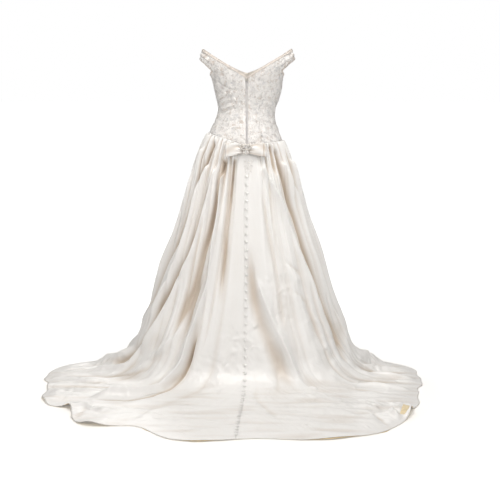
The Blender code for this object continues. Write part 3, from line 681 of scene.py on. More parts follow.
# The front hangs in plain folds.
frontFolds = tuple(
    (rise, 0.016, 0.030, tuple((side * angle, level) for level in (0.03, 0.3, 0.6, 1.0)))
    for side in (-1, 1)
    for angle, rise in (
        (103, -0.016), (110, 0.014), (117, -0.015), (125, 0.014), (133, -0.013), (142, 0.013),
        (151, -0.012), (161, 0.011), (171, -0.010),
    )
)
# How strongly the narrow pleats show, by cloth line.
pleatWeights = (
    (-180, 0.25), (-110, 0.30), (-95, 0.8), (-78, 1.0), (-50, 1.0), (-44, 0.45), (-24, 0.30),
    (-13, 0.0), (13, 0.0), (18, 0.7), (30, 1.0), (90, 1.0), (103, 0.5), (115, 0.25), (180, 0.25),
)
# Places where the hem curls up and shows its lining: line, reach to each side, lift, length.
hemLifts = (
    (23.0, 2.2, 0.017, 0.055),
    (29.5, 1.6, 0.005, 0.050),
    (35.0, 2.2, 0.021, 0.055),
    (4.5, 4.0, 0.004, 0.040),
    (-12.5, 4.0, 0.005, 0.040),
    (-29.5, 2.6, 0.030, 0.060),
    (46.0, 2.6, 0.009, 0.050),
    (61.0, 3.0, 0.006, 0.050),
)
# Crumpled patches: line, level, reach, rise, wavelength, seed.
crumples = (
    (7, 0.480, 0.10, 0.0030, 0.050, 1),
    (-34, 0.380, 0.10, 0.0034, 0.060, 2),
    (-38, 0.540, 0.14, 0.0032, 0.070, 3),
    (-12, 0.620, 0.12, 0.0028, 0.060, 12),
    (-20, 0.450, 0.11, 0.0026, 0.055, 13),
    (14, 0.620, 0.12, 0.0030, 0.060, 14),
    (-28, 0.930, 0.09, 0.0130, 0.050, 4),
    (8, 0.800, 0.32, 0.0024, 0.110, 5),
    (-14, 0.800, 0.34, 0.0026, 0.120, 6),
    (55, 0.880, 0.22, 0.0034, 0.070, 7),
    (-60, 0.860, 0.20, 0.0034, 0.080, 8),
    (88, 0.850, 0.14, 0.0080, 0.060, 9),
    (-86, 0.880, 0.12, 0.0070, 0.060, 10),
    (28, 0.940, 0.14, 0.0040, 0.060, 11),
)


def skirtBase(angle, down):
    angle = halfTurn(angle)
    foot, hem = np.moveaxis(tableAt(skirt["plan"], angle), -1, 0)
    top = waistSeam(angle) - skirt["waistGap"]
    floor = floorZ + skirt["rest"]
    topRadius = torsoRadius(angle, top)
    slant = np.hypot(foot - topRadius, top - floor)
    run = np.maximum(hem - foot, 0.0)
    bend = np.maximum(np.minimum(skirt["bend"], 0.45 * run), 1e-5)
    travel = down * (slant + run)

    def falling(share):
        spread = tableAt(skirt["fall"], share)[..., 0]
        return mix(topRadius, foot, spread), mix(top, floor, share)

    fallRadius, fallHeight = falling(np.clip(travel / slant, 0, 1))
    startRadius, startHeight = falling(1 - bend / slant)
    turned = np.clip((travel - slant + bend) / (2 * bend), 0, 1)
    still = (1 - turned) ** 2
    bendRadius = startRadius * still + foot * 2 * turned * (1 - turned) + (foot + bend) * turned**2
    bendHeight = startHeight * still + floor * (1 - still)
    falls, lies = travel < slant - bend, travel > slant + bend
    radius = np.where(falls, fallRadius, np.where(lies, foot + travel - slant, bendRadius))
    height = np.where(falls, fallHeight, np.where(lies, floor, bendHeight))
    turn = np.radians(angle)
    return np.stack([radius * np.sin(turn), radius * np.cos(turn), height], axis=-1)


def clothBase(line, down):
    line, down = np.broadcast_arrays(np.asarray(line, float), np.asarray(down, float))
    line = halfTurn(line)
    return skirtBase(mix(line, tableAt(skirt["spread"], line)[..., 0], ease(down)), down)


def foldRise(points, line, down):
    # how far the cloth stands out of its plain shape, how much shade the folds paint into its colour, how
    # crumpled it is
    line = halfTurn(line)
    rise, hollow, crumpled = np.zeros(down.shape), np.zeros(down.shape), np.full(down.shape, 0.12)
    for height, widthTop, widthFoot, path in folds + frontFolds:
        lines, levels = np.array(path, float).T
        dense, marks = np.linspace(0, 1, 3 * len(lines)), np.linspace(0, 1, len(lines))
        route = clothBase(np.interp(dense, marks, lines), np.interp(dense, marks, levels))
        margin = 4 * max(widthTop, widthFoot)
        near = np.all((points > route.min(0) - margin) & (points < route.max(0) + margin), axis=-1)
        if not near.any():
            continue
        gap, share = toPath(points[near], route)
        length = np.linalg.norm(np.diff(route, axis=0), axis=1).sum()
        width = mix(widthTop * (0.78 if height < 0 else 1.0), widthFoot, share)
        taper = np.clip(0.16 / length, 0.10, 0.42)
        startTaper = 0.03 if levels[0] < 0.08 else taper
        ends = ease(share / startTaper) * ease((1 - share) / taper)
        ends = ends * (1 + 0.16 * np.sin(share * length * 21 + lines[0]))
        soft = np.sqrt(gap**2 + (0.13 * width) ** 2) - 0.13 * width
        power = 2.0 if widthFoot > 0.034 else 1.35
        rise[near] += height * ends * np.exp(-((soft / width) ** power))
        # painted shade darkens the colour along hollow folds, and ridges are painted lighter as a painted
        # highlight
        paintedShadeAndHighlight = min(abs(height) / 0.026, 1.1) * (1.15 if height < 0 else -0.55)
        hollow[near] += paintedShadeAndHighlight * ends * np.exp(-((gap / (width * (0.95 if height < 0 else 0.8))) ** 2))
    # fine gathers that spring from the waist seam
    gathered = ease((np.abs(line) - 13) / 9)
    slack = np.sin(np.radians(line * 41 + 60 * np.sin(np.radians(line * 7)) + 25 * np.sin(line * 0.9)))
    slack += 0.6 * np.sin(np.radians(line * 67 + 80 * np.sin(np.radians(line * 5))))
    length = 0.10 + 0.05 * np.sin(np.radians(line * 23))
    fade = gathered * np.exp(-((down / length) ** 1.3)) * ease(down / 0.010)
    rise += 0.0062 * slack * fade
    # painted shade in the hollows of the gathers, painted lighter on their crests
    hollow -= 0.62 * slack * fade
    # narrow pleats that run down from the gathers, each with its own depth and length
    weight = np.interp(line, *zip(*pleatWeights))
    for spacing, depth, seed in ((6.9, 0.0062, 1.0), (4.3, 0.0036, 2.0)):
        place = line / spacing + 0.35 * np.sin(down * 2.6 + line * 0.045 + seed) + 50.0
        which = np.floor(place)
        chance = [np.modf(np.abs(np.sin(which * 12.9898 + seed * k)) * 43758.5453)[0] for k in (1, 2, 3)]
        across = np.abs(place - which - 0.5) * 2
        run = ease((down - 0.03 * chance[0]) / 0.03) * (1 + 0.9 * np.exp(-((down / 0.16) ** 2)))
        run = run * (1 - ease((down - 0.30 - 0.60 * chance[1]) / 0.22))
        pleat = np.exp(-((across / 0.34) ** 1.5)) * run * weight * (0.35 + 0.85 * chance[2])
        rise -= depth * pleat
        # painted shade down each pleat
        hollow += 58 * depth * pleat
    # long soft streaks down the cloth
    for turns, height, drift, seed in ((17, 0.0034, 3, 0.4), (29, 0.0022, 5, 1.9), (47, 0.0012, 9, 2.6)):
        wave = np.sin(np.radians(line * turns + 46 * np.sin(down * drift + seed + line * 0.03)) + seed)
        here = (0.25 + 0.75 * gathered) * ease(down / 0.06) * (1 - 0.65 * ease((down - 0.50) / 0.35))
        rise += height * wave * here
        # painted shade in the streaks' hollows, painted lighter on their crests
        hollow -= 24 * height * wave * here
    rise += 0.0024 * ripples(points, 0.30, 12, (1, 1, 2.5)) * ease(down / 0.2)
    # where it lies, the satin has low folds that run across the train
    lying = ease((down - 0.52) / 0.18) * ease((points[..., 1] + 0.1) / 0.3)
    low = ripples(points, 0.085, 31, (3.4, 1, 1))
    fine = ripples(points, 0.040, 32, (3.0, 1, 1))
    rise += (0.0032 * low + 0.0010 * fine) * lying
    # painted shade in the low folds across the train, painted lighter on their crests
    hollow -= (0.22 * low + 0.08 * fine) * lying
    rise += 0.0005 * ripples(points, 0.055, 13, (1, 1, 2.0)) * ease(down / 0.1)
    for at, level, reach, height, wavelength, seed in crumples:
        centre = clothBase(at, level)
        off = np.linalg.norm(points - centre, axis=-1)
        near = off < 2.2 * reach
        if near.any():
            weight = np.exp(-((off[near] / reach) ** 2))
            sharp = 1 - 2 * np.abs(ripples(points[near], wavelength, seed))
            soft = ripples(points[near], wavelength * 2.2, seed + 40)
            rise[near] += height * weight * (0.35 * sharp + 0.8 * soft)
            crumpled[near] += weight
    return rise, hollow, np.clip(crumpled, 0, 1)


def hemLift(line, down, length):
    lift = np.zeros(down.shape)
    for at, reach, height, run in hemLifts:
        fromHem = (1 - down) * length
        lift += height * np.exp(-(((halfTurn(line) - at) / reach) ** 2)) * np.exp(-((fromHem / run) ** 1.2))
    return lift


def clothGrid(lines, levels):
    line, down = np.meshgrid(lines, levels)
    base = clothBase(line, down)
    normal = gridNormals(base)
    # the second value is the shade that the folds paint into the satin's colour
    rise, hollow, crumpled = foldRise(base, line, down)
    flat = np.clip(normal[..., 2], 0, 1) ** 2
    low = np.where(rise < 0, rise * (1 - flat) + flat * rise * 0.25, rise)
    grid = base + normal * (low + flat * skirt["room"])[..., None]
    length = stepLengths(base).sum(axis=0)[None, :]
    fromHem = (1 - down) * length
    settle = 0.90 * np.exp(-((fromHem / 0.032) ** 2)) * ease((base[..., 1] + 0.30) / 0.15)
    grid[..., 2] = mix(grid[..., 2], floorZ + 0.0026, settle)
    grid[..., 2] += hemLift(line, down, length)
    # the hem's outline wanders a little
    wander = 0.007 * np.sin(np.radians(line * 16)) + 0.004 * np.sin(np.radians(line * 37 + 50))
    outward = base[..., :2] / np.linalg.norm(base[..., :2], axis=-1, keepdims=True)
    grid[..., :2] += outward * (wander * np.exp(-fromHem / 0.06) * ease((base[..., 1] + 0.05) / 0.3))[..., None]
    grid[..., 2] = np.maximum(grid[..., 2], floorZ + skirt["rest"] * 0.7)
    return grid, rise, hollow, crumpled, fromHem


def evenLevels(count, dense=0.62):
    # closer rows near the waist
    t = np.linspace(0, 1, count)
    return t * dense + (1 - dense) * t**1.6


def gore(name, start, end, columns, rows, *nodes):
    step = (end - start) / columns
    lines = np.arange(-1, columns + 2) * step + start
    levels = evenLevels(rows)
    grid, rise, hollow, crumpled, fromHem = (part[:, 1:-1] for part in clothGrid(lines, levels))
    # the satin reads the painted shade of the folds from these marks
    marks = {"hollow": hollow, "crumple": crumpled, "fromHem": fromHem}
    piece = clothPiece(name, grid, [satin, lining], skirt["thickness"], **marks)
    keep(piece, "satin", *nodes)


gores = (
    ("skirtBackLeft", 0, 30, 165, 285, "skirt_back_left", "train_lining_left"),
    ("skirtSideBackLeft", 30, 86, 180, 260, "skirt_side_back_left"),
    ("skirtSideFrontLeft", 86, 146, 110, 150, "skirt_side_front_left"),
    ("skirtFront", 146, 214, 110, 130, "skirt_front"),
    ("skirtSideFrontRight", -146, -86, 110, 150, "skirt_side_front_right"),
    ("skirtSideBackRight", -86, -30, 180, 260, "skirt_side_back_right"),
    ("skirtBackRight", -30, 0, 165, 285, "skirt_back_right", "train_lining_right"),
)
for row in gores:
    gore(*row)
    print("gore", row[0])

# the lining's edge, which peeps out past the train's hem here and there
liningPeeps = ((5.0, 3.0, 0.006), (-12.5, 4.0, 0.008), (-20, 2.0, 0.003), (14, 2.5, 0.002), (-30.5, 2.0, 0.004))
liningLines = np.linspace(-33, 16, 250)
line, down = np.meshgrid(liningLines, np.linspace(0, 1, 14))
hidden = 0.022  # how far the lining stays inside the hem between those places
peep = -hidden + sum((size + hidden) * np.exp(-(((line - at) / reach) ** 2)) for at, reach, size in liningPeeps)
grid = clothGrid(liningLines, np.linspace(0.972, 1, 14))[0]
grid = grid + unit(grid[-1:] - grid[:1]) * (peep * down)[..., None]
grid[..., 2] = np.maximum(grid[..., 2] - 0.0028, floorZ + 0.0009)
liningPiece = clothPiece("trainLining", grid, [lining, lining], 0.0008)
keep(liningPiece, "lining")


def nothingSelected():
    bpy.ops.object.select_all(action="DESELECT")


def takeShape(piece):
    # the points and faces of a modelled shape, ready to be copied
    mesh = piece.data
    points = np.array([v.co for v in mesh.vertices])
    faces = [tuple(f.vertices) for f in mesh.polygons]
    bpy.data.objects.remove(piece)
    return points, faces


def copies(name, groups):
    # one piece out of many copies: (shape, places, axes, material) for each kind
    points, faces, marks, materials, start = [], [], [], [], 0
    for (shape, shapeFaces), places, axes, material in groups:
        if material not in materials:
            materials.append(material)
        mark = materials.index(material)
        placed = places[:, None, :] + np.einsum("pk,nkc->npc", shape, axes)
        points.append(placed.reshape(-1, 3))
        for i in range(len(places)):
            shift = start + i * len(shape)
            faces.extend(tuple(k + shift for k in face) for face in shapeFaces)
            marks.extend([mark] * len(shapeFaces))
        start += len(places) * len(shape)
    piece = newMesh(name, np.concatenate(points), faces, materials)
    piece.data.polygons.foreach_set("material_index", np.array(marks, np.int32))
    piece.data.update()
    return piece


def scaled(axes, *sizes):
    return axes * np.array(sizes)[None, :, None]


def makeBeadShape(segments=8, rings=5):
    nothingSelected()
    bpy.ops.mesh.primitive_uv_sphere_add(segments=segments, ring_count=rings, radius=1)
    return takeShape(bpy.context.active_object)


def makeGemShape():
    nothingSelected()
    bpy.ops.mesh.primitive_cylinder_add(vertices=8, radius=1, depth=0.5, location=(0, 0, 0.25))
    gem = bpy.context.active_object
    bpy.ops.object.transform_apply(location=True)
    bpy.ops.object.mode_set(mode="EDIT")
    bpy.ops.mesh.select_all(action="DESELECT")
    bpy.ops.object.mode_set(mode="OBJECT")
    for face in gem.data.polygons:
        face.select = face.normal.z > 0.9
    bpy.ops.object.mode_set(mode="EDIT")
    bpy.ops.mesh.extrude_region_move(TRANSFORM_OT_translate={"value": (0, 0, 0.35)})
    bpy.ops.transform.resize(value=(0.55, 0.55, 1))
    bpy.ops.object.mode_set(mode="OBJECT")
    return takeShape(gem)


def makeRingShape(thick=0.16, around=18, sides=6):
    nothingSelected()
    bpy.ops.mesh.primitive_torus_add(
        major_segments=around, minor_segments=sides, major_radius=1, minor_radius=thick,
    )
    return takeShape(bpy.context.active_object)


def makeButtonShape():
    # a domed button with its covering gathered in under the rim
    nothingSelected()
    bpy.ops.mesh.primitive_cylinder_add(vertices=20, radius=0.82, depth=0.30, location=(0, 0, 0.15))
    button = bpy.context.active_object
    bpy.ops.object.transform_apply(location=True)
    for height, size in ((0.22, 1.19), (0.24, 0.98), (0.20, 0.86), (0.14, 0.70), (0.08, 0.52)):
        for face in button.data.polygons:
            face.select = face.normal.z > 0.9
        bpy.ops.object.mode_set(mode="EDIT")
        bpy.ops.mesh.select_mode(type="FACE")
        bpy.ops.mesh.extrude_region_move(TRANSFORM_OT_translate={"value": (0, 0, height * 0.62)})
        bpy.ops.transform.resize(value=(size, size, 1))
        bpy.ops.object.mode_set(mode="OBJECT")
    return takeShape(button)


def makeToothShape():
    nothingSelected()
    bpy.ops.mesh.primitive_cube_add(size=2)
    tooth = bpy.context.active_object
    bpy.ops.object.mode_set(mode="EDIT")
    bpy.ops.mesh.select_all(action="SELECT")
    bpy.ops.mesh.bevel(offset=0.45, segments=1, affect="EDGES")
    bpy.ops.object.mode_set(mode="OBJECT")
    return takeShape(tooth)


def petalShape(waist, dome, vein, rows=5):
    # a raised petal that lies from 0 to 1 along Y
    points, faces = [], []
    for j in range(rows + 1):
        along = j / rows
        half = 0.5 * math.sin(math.pi * along**waist) ** 0.8 if 0 < j < rows else 0.0
        for i, across in enumerate((-1, -0.45, 0, 0.45, 1)):
            rise = dome * (1 - across**2) * math.sin(math.pi * min(max(along, 0.04), 0.96))
            points.append((across * half, along, rise - (vein if i == 2 else 0)))
    for j in range(rows):
        for i in range(4):
            a = j * 5 + i
            faces.append((a, a + 1, a + 6, a + 5))
    return np.array(points), faces


def tubeAlong(path, outward, radius, sides=6):
    along = unit(np.gradient(path, axis=0))
    side = unit(np.cross(along, outward))
    up = np.cross(side, along)
    turns = np.arange(sides) * 2 * math.pi / sides
    ring = np.cos(turns)[None, :, None] * side[:, None] + np.sin(turns)[None, :, None] * up[:, None]
    points = (path[:, None] + ring * radius).reshape(-1, 3)
    faces = []
    for j in range(len(path) - 1):
        for i in range(sides):
            k = (i + 1) % sides
            faces.append((j * sides + i, j * sides + k, (j + 1) * sides + k, (j + 1) * sides + i))
    faces.append(tuple(range(sides))[::-1])
    faces.append(tuple((len(path) - 1) * sides + i for i in range(sides)))
    return points, faces


def tubeShape(path, radius, sides=5):
    return tubeAlong(np.array(path, float), np.array((0, 0, 1.0)), radius, sides)


beadShape = makeBeadShape()
gemShape = makeGemShape()
ringShape = makeRingShape()
buttonShape = makeButtonShape()
toothShape = makeToothShape()
print("small shapes modelled")


sprig = {
    "spacing": 0.029, "girth": 0.80, "petal": 0.0092, "leaf": 0.0115, "bead": 0.00105, "edge": 0.0036,
    "zipGap": 0.0098,
}
sprigDraw = np.random.default_rng(11)
petal = petalShape(0.80, 0.10, 0.02)
leaf = petalShape(1.15, 0.12, 0.05)
tendril = tubeShape([(0.30 * math.sin(t * 4.2) * (1 - 0.3 * t), t, 0.05) for t in np.linspace(0, 1, 8)], 0.042)


def onBodice(angle, height, local):
    # local points (across, up, out, in metres) laid on the bodice round each (angle, height)
    oneDegree = torsoPoint(angle + 0.5, height) - torsoPoint(angle - 0.5, height)
    perDegree = np.linalg.norm(oneDegree, axis=-1)
    turn = angle[:, None] + local[..., 0] / perDegree[:, None]
    level = height[:, None] + local[..., 1]
    place = torsoPoint(turn, level)
    place = place + torsoNormal(turn, level) * (bodiceRise(place) + local[..., 2])[..., None]
    turn = np.abs(halfTurn(turn))
    ceiling = np.where(turn < 60, neckline(turn), bodiceTop(turn))
    inside = (level > waistSeam(turn) + sprig["edge"]) & (level < ceiling - sprig["edge"])
    inside &= (turn > 60) | (np.abs(place[..., 0]) > sprig["zipGap"])
    return place, inside.all(axis=1)


def sprigLayout():
    # flowers on a staggered grid, with leaves, tendrils and seed beads between them
    parts = {"petal": [], "leaf": [], "tendril": [], "bead": []}

    def add(kind, away, turn, long, width=1.0):
        parts[kind].append((angle, level, away, turn, long, width))

    count = int(sprig["girth"] / sprig["spacing"])
    for row, height in enumerate(np.arange(-0.150, 0.262, sprig["spacing"] * 0.82)):
        for i in range(count):
            angle = -180 + 360 * (i + 0.5 * (row % 2)) / count + sprigDraw.uniform(-1.4, 1.4)
            level = height + sprigDraw.uniform(-0.0025, 0.0025)
            spin = sprigDraw.uniform(0, 2 * math.pi)
            size = sprigDraw.uniform(0.85, 1.12)
            petals = 5 + int(sprigDraw.integers(0, 2))
            for k in range(petals):
                add("petal", 0.0012, spin + 2 * math.pi * k / petals, sprig["petal"] * size, 0.62)
            for k in range(3):
                add("leaf", 0.0095 * size, spin + 2 * math.pi * (k + 0.3) / 3, sprig["leaf"] * size, 0.40)
            for k in range(2):
                add("tendril", 0.008, spin + 1.9 + math.pi * k, 0.013 * size)
            for k in range(4):
                turn = sprigDraw.uniform(0, 2 * math.pi)
                away = 0.0 if k == 0 else sprigDraw.uniform(0.006, 0.016)
                add("bead", away, turn, sprig["bead"] * (1.5 if k == 0 else 1.0))
    return {kind: np.array(rows) for kind, rows in parts.items()}


def sprigLocal(shape, rows, reliefScale):
    # turns and sizes a flat shape for each row of the layout
    points = shape[0]
    angle, level, away, turn, size, width = rows.T
    across = points[None, :, 0] * (size * width)[:, None]
    up = points[None, :, 1] * size[:, None] + away[:, None]
    local = np.empty((len(rows), len(points), 3))
    local[..., 0] = across * np.cos(turn)[:, None] + up * np.sin(turn)[:, None]
    local[..., 1] = up * np.cos(turn)[:, None] - across * np.sin(turn)[:, None]
    local[..., 2] = points[None, :, 2] * size[:, None] * reliefScale + 0.0002
    return angle, level, local


def sprigPiece(name, kinds, low, high):
    points, faces, marks, start = [], [], [], 0
    materials = [stitch, silver, pearl]
    for kind, shape, relief, mark in kinds:
        rows = layout[kind]
        turn = np.abs(halfTurn(rows[:, 0]))
        rows = rows[(turn >= low) & (turn < high)]
        angle, level, local = sprigLocal(shape, rows, relief)
        place, inside = onBodice(angle, level, local)
        place = place[inside]
        for i in range(len(place)):
            shift = start + i * len(shape[0])
            faces.extend(tuple(k + shift for k in face[::-1]) for face in shape[1])
            marks.extend([mark] * len(shape[1]))
        points.append(place.reshape(-1, 3))
        start += len(place) * len(shape[0])
    piece = newMesh(name, np.concatenate(points), faces, materials)
    piece.data.polygons.foreach_set("material_index", np.array(marks, np.int32))
    keep(piece, "lace")
    return piece


layout = sprigLayout()
seed = (beadShape[0] * np.array((1, 1, 0.8)) + np.array((0, 0, 0.5)), beadShape[1])
kinds = (("petal", petal, 0.9, 0), ("leaf", leaf, 0.7, 0), ("tendril", tendril, 1.0, 1), ("bead", seed, 1.0, 2))
sprigPiece("laceSpraysBack", kinds, 0, 62)
sprigPiece("laceSpraysSide", kinds, 62, 118)
sprigPiece("laceSpraysFront", kinds, 118, 181)
print("lace sprays laid")


edgeCord = {"radius": 0.00155, "strand": 0.00088, "twist": 0.0050, "beadGap": 0.0070, "bead": 0.0011}


def resample(points, step):
    travel = travelAlong(points)
    at = np.linspace(0, travel[-1], max(int(travel[-1] / step), 8))
    return follow(at, travel, points), at


def edgePiece(name, angles, heights, side, closed=False, *nodes):
    # two strands twisted together along an edge, with seed beads sewn inside it
    lie = torsoPoint(angles, heights)
    out = torsoNormal(angles, heights)
    lie = lie + out * bodiceRise(lie)[:, None] * 0.6
    if closed:
        lie, out = (np.concatenate([rows, rows[:1]]) for rows in (lie, out))
    path, travel = resample(lie, edgeCord["twist"] / 8)
    normal = follow(travel, travelAlong(lie), out)
    along = np.gradient(path, axis=0)
    if closed:
        along[0] = along[-1] = path[1] - path[-2]
    along = unit(along)
    normal = unit(normal - along * (normal * along).sum(1)[:, None])
    sideways = side * np.cross(along, normal)
    middle = path + sideways * edgeCord["radius"] - normal * 0.0006
    points, faces, start = [], [], 0
    turns = round(travel[-1] / edgeCord["twist"])
    swingRadius = edgeCord["radius"] - edgeCord["strand"]
    for strand in (0, 1):
        phase = 2 * math.pi * (travel / travel[-1] * turns) + math.pi * strand
        swing = normal * np.cos(phase)[:, None] + sideways * np.sin(phase)[:, None]
        shape, shapeFaces = tubeAlong(middle + swing * swingRadius, normal, edgeCord["strand"])
        faces.extend(tuple(k + start for k in face) for face in shapeFaces)
        points.append(shape)
        start += len(shape)
    piece = newMesh(name, np.concatenate(points), faces, [edging])
    keep(piece, "piping", *nodes)
    count = int(travel[-1] / edgeCord["beadGap"])
    pick = np.linspace(4, len(path) - 5, count).astype(int)
    places = path[pick] - sideways[pick] * 0.0021 + normal[pick] * 0.0010
    axes = np.stack([along[pick], sideways[pick], normal[pick]], axis=1)
    beads = copies(name + "Beads", [(beadShape, places, scaled(axes, *([edgeCord["bead"]] * 3)), pearl)])
    keep(beads, "beads")


def binding(name, angles, heights, drops, out=0.0013):
    # a bias strip laid flat along an edge
    down = np.linspace(0, 1, 7)[:, None]
    height = heights[None] - down * drops
    angle = np.broadcast_to(angles[None], height.shape)
    place = torsoPoint(angle, height)
    puff = out + 0.0007 * np.sin(math.pi * down) * (1 + 0.3 * np.sin(np.radians(angle * 97)))
    grid = place + torsoNormal(angle, height) * (bodiceRise(place) * 0.6 + puff)[..., None]
    piece = clothPiece(name, grid, [edging, edging], 0.0007)
    keep(piece, "piping")


zipEdge = 0.25  # degrees from the centre back to the end of the neck's cord
back, front = torso["backNeck"], torso["frontNeck"]
neckAngles = np.concatenate([
    np.linspace(zipEdge, back, 90), np.linspace(back, front, 90)[1:], np.linspace(front, 180, 50)[1:],
])
neckAngles = np.concatenate([neckAngles, 360 - neckAngles[-2::-1]])
edgePiece("neckEdge", neckAngles, neckline(neckAngles), 1, False, "neck_piping")
neckBinding, armBinding = 0.0068, 0.0050  # how wide the strips are
binding("neckBinding", neckAngles, neckline(neckAngles), neckBinding)
armEnds = (torso["backArm"], torso["frontArm"])
armShare = np.linspace(0, 1, 60)
armAngles = mix(*armEnds, armShare)
for word, side in sides:
    lower = mix(*armEnds, np.linspace(0.03, 0.97, 50))
    share = np.linspace(0.97, 0.03, 70)
    angles = np.concatenate([lower, mix(*armEnds, share)]) * side
    heights = np.concatenate([bodiceTop(lower), bandFoot(share)])
    edgePiece("armholeEdge" + word, angles, heights, side, True, f"armhole_piping_{word.lower()}")
    order = slice(None, None, side)
    turned = side * armAngles[order]
    binding("underarmBinding" + word, turned, bodiceTop(armAngles)[order], armBinding)
    binding("bandBinding" + word, turned, bandFoot(armShare)[order] + armBinding, armBinding)
print("edges corded")


zipTrim = {
    "pitch": 0.0016, "tooth": (0.00145, 0.00052, 0.00075), "depth": 0.0022, "slider": (0.0036, 0.0026, 0.0050),
    "taper": 0.72, "guard": (0.0095, 0.1385, 0.1120),  # half width, top, foot
}
zipHeights = np.arange(torso["zipTop"] - 0.001, float(waistSeam(0.0)) + 0.002, -zipTrim["pitch"])
zipPlace = torsoPoint(np.zeros(len(zipHeights)), zipHeights)
zipOut = torsoNormal(np.zeros(len(zipHeights)), zipHeights)
zipDown = unit(np.gradient(zipPlace, axis=0))
zipAcross = np.cross(zipDown, zipOut)
teeth = []
for side in (-1, 1):
    step = zipDown * (zipTrim["pitch"] / 2 if side > 0 else 0)
    places = zipPlace + step - zipOut * zipTrim["depth"] + zipAcross * side * 0.0007
    axes = np.stack([zipAcross, zipDown, zipOut], axis=1)
    teeth.append((toothShape, places, scaled(axes, *zipTrim["tooth"]), zipCoil))
keep(copies("zipTeeth", teeth), "zip", "zip_chain")

nothingSelected()
bpy.ops.mesh.primitive_cube_add(size=2)
slider = bpy.context.active_object
slider.name = "zipSlider"
for vertex in slider.data.vertices:
    vertex.co.x *= zipTrim["slider"][0] * (1.0 if vertex.co.z > 0 else zipTrim["taper"])
    vertex.co.y *= zipTrim["slider"][1]
    vertex.co.z *= zipTrim["slider"][2]
bpy.ops.object.mode_set(mode="EDIT")
bpy.ops.mesh.select_all(action="SELECT")
bpy.ops.mesh.bevel(offset=0.0009, segments=2, affect="EDGES")
bpy.ops.mesh.select_all(action="DESELECT")
bpy.ops.object.mode_set(mode="OBJECT")
for face in slider.data.polygons:
    face.select = face.normal.y > 0.9
bpy.ops.object.mode_set(mode="EDIT")
bpy.ops.mesh.inset(thickness=0.0010)
bpy.ops.mesh.extrude_region_move(TRANSFORM_OT_translate={"value": (0, -0.0006, 0)})
bpy.ops.object.mode_set(mode="OBJECT")
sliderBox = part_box("zip_slider")
sliderPlace = [(a + b) / 2 for a, b in zip(*sliderBox)]
slider.location = sliderPlace
bpy.ops.object.transform_apply(location=True, rotation=True, scale=True)
slider.data.materials.append(zipMetal)
slider.data.shade_smooth()
keep(slider, "zip", "zip_slider")
guardAcross, guardDown = np.meshgrid(np.linspace(-1, 1, 12), np.linspace(0, 1, 16))
guardHalf, guardTop, guardFoot = zipTrim["guard"]
guardHeight = mix(guardTop, guardFoot, guardDown)
guardAngle = np.degrees(guardAcross * guardHalf / torsoRadius(0 * guardDown, guardHeight))
guard = torsoPoint(guardAngle, guardHeight) - torsoNormal(guardAngle, guardHeight) * 0.0048
guardPiece = clothPiece("zipGuard", guard, [bodiceLining, bodiceLining], 0.0006)
keep(guardPiece, "lace")
for node in ("zip_tape_left", "zip_tape_right"):
    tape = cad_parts[node]
    for spot in tape.material_slots:
        spot.material = zipTape
print("zip made")


buttonTrim = {
    "radius": 0.0058, "rise": 0.0046, "pitch": 0.0335, "start": 0.128, "end": 0.012, "lift": 0.0006,
    "loop": 0.0007, "loopReach": 0.0100, "loopHalf": 0.0048,
}
seamLevels = np.linspace(0, 1, 900)
seamStrip = clothGrid(np.array((-0.6, -0.3, 0, 0.3, 0.6)), seamLevels)[0]
seamPath = seamStrip[:, 2]
seamTravel = travelAlong(seamPath)


def smoothLine(values, reach=25):
    padded = np.pad(values, ((reach, reach), (0, 0)), mode="edge")
    even = np.ones(2 * reach + 1) / (2 * reach + 1)
    return np.stack([np.convolve(padded[:, k], even, mode="valid") for k in range(3)], axis=1)


def seamFrames(travel):
    # place, left, down and outward direction at each distance below the waist seam
    left = unit(follow(travel, seamTravel, seamLeft))
    down = follow(travel, seamTravel, seamDown)
    down = unit(down - left * (down * left).sum(1)[:, None])
    return follow(travel, seamTravel, seamPath), left, down, np.cross(left, down)


seamLeft = smoothLine(seamStrip[:, 4] - seamStrip[:, 0])
seamDown = smoothLine(np.gradient(seamPath, axis=0))
buttonTravel = np.arange(buttonTrim["start"], seamTravel[-1] - buttonTrim["end"], buttonTrim["pitch"])
place, left, down, out = seamFrames(buttonTravel)
axes = np.stack([left, down, out], axis=1)
radius, rise = buttonTrim["radius"], buttonTrim["rise"]
sized = scaled(axes, radius, radius, rise)
buttons = copies("coveredButtons", [(buttonShape, place + out * buttonTrim["lift"], sized, satin)])
keep(buttons, "satin", *[f"button_strip_{i}" for i in range(1, 6)])
reach, half = buttonTrim["loopReach"], buttonTrim["loopHalf"]
loopPath = []
for t in np.linspace(0, 1, 15):
    bend = math.pi * (t - 0.5)
    along = reach - (reach + 0.0068) * max(math.cos(bend), 0) ** 0.55
    loopPath.append((along, half * math.sin(bend), 0.0011 + 0.0010 * math.cos(bend)))
loopShape = tubeShape(loopPath, buttonTrim["loop"], 6)
loops = copies("buttonLoops", [(loopShape, place, axes, satin)])
keep(loops, "satin")
travel = np.linspace(buttonTrim["start"] - 0.05, seamTravel[-1] - 0.002, 700)
place, left, down, out = seamFrames(travel)
points, faces = tubeAlong(place + left * 0.0100 - out * 0.0003, out, 0.0008)
keep(newMesh("seamWelt", points, faces, [satin]), "satin")
print("buttons sewn on", len(buttonTravel))


bow = {
    "length": 0.172, "height": 0.053, "middle": 0.004, "level": -0.153, "depth": 0.016, "knotHalf": 0.0147,
    "thickness": 0.0012, "fold": 0.0065,
}


def bowBack(x, height):
    return 0.1555 - 0.22 * (height + 0.179) - 0.9 * x * x


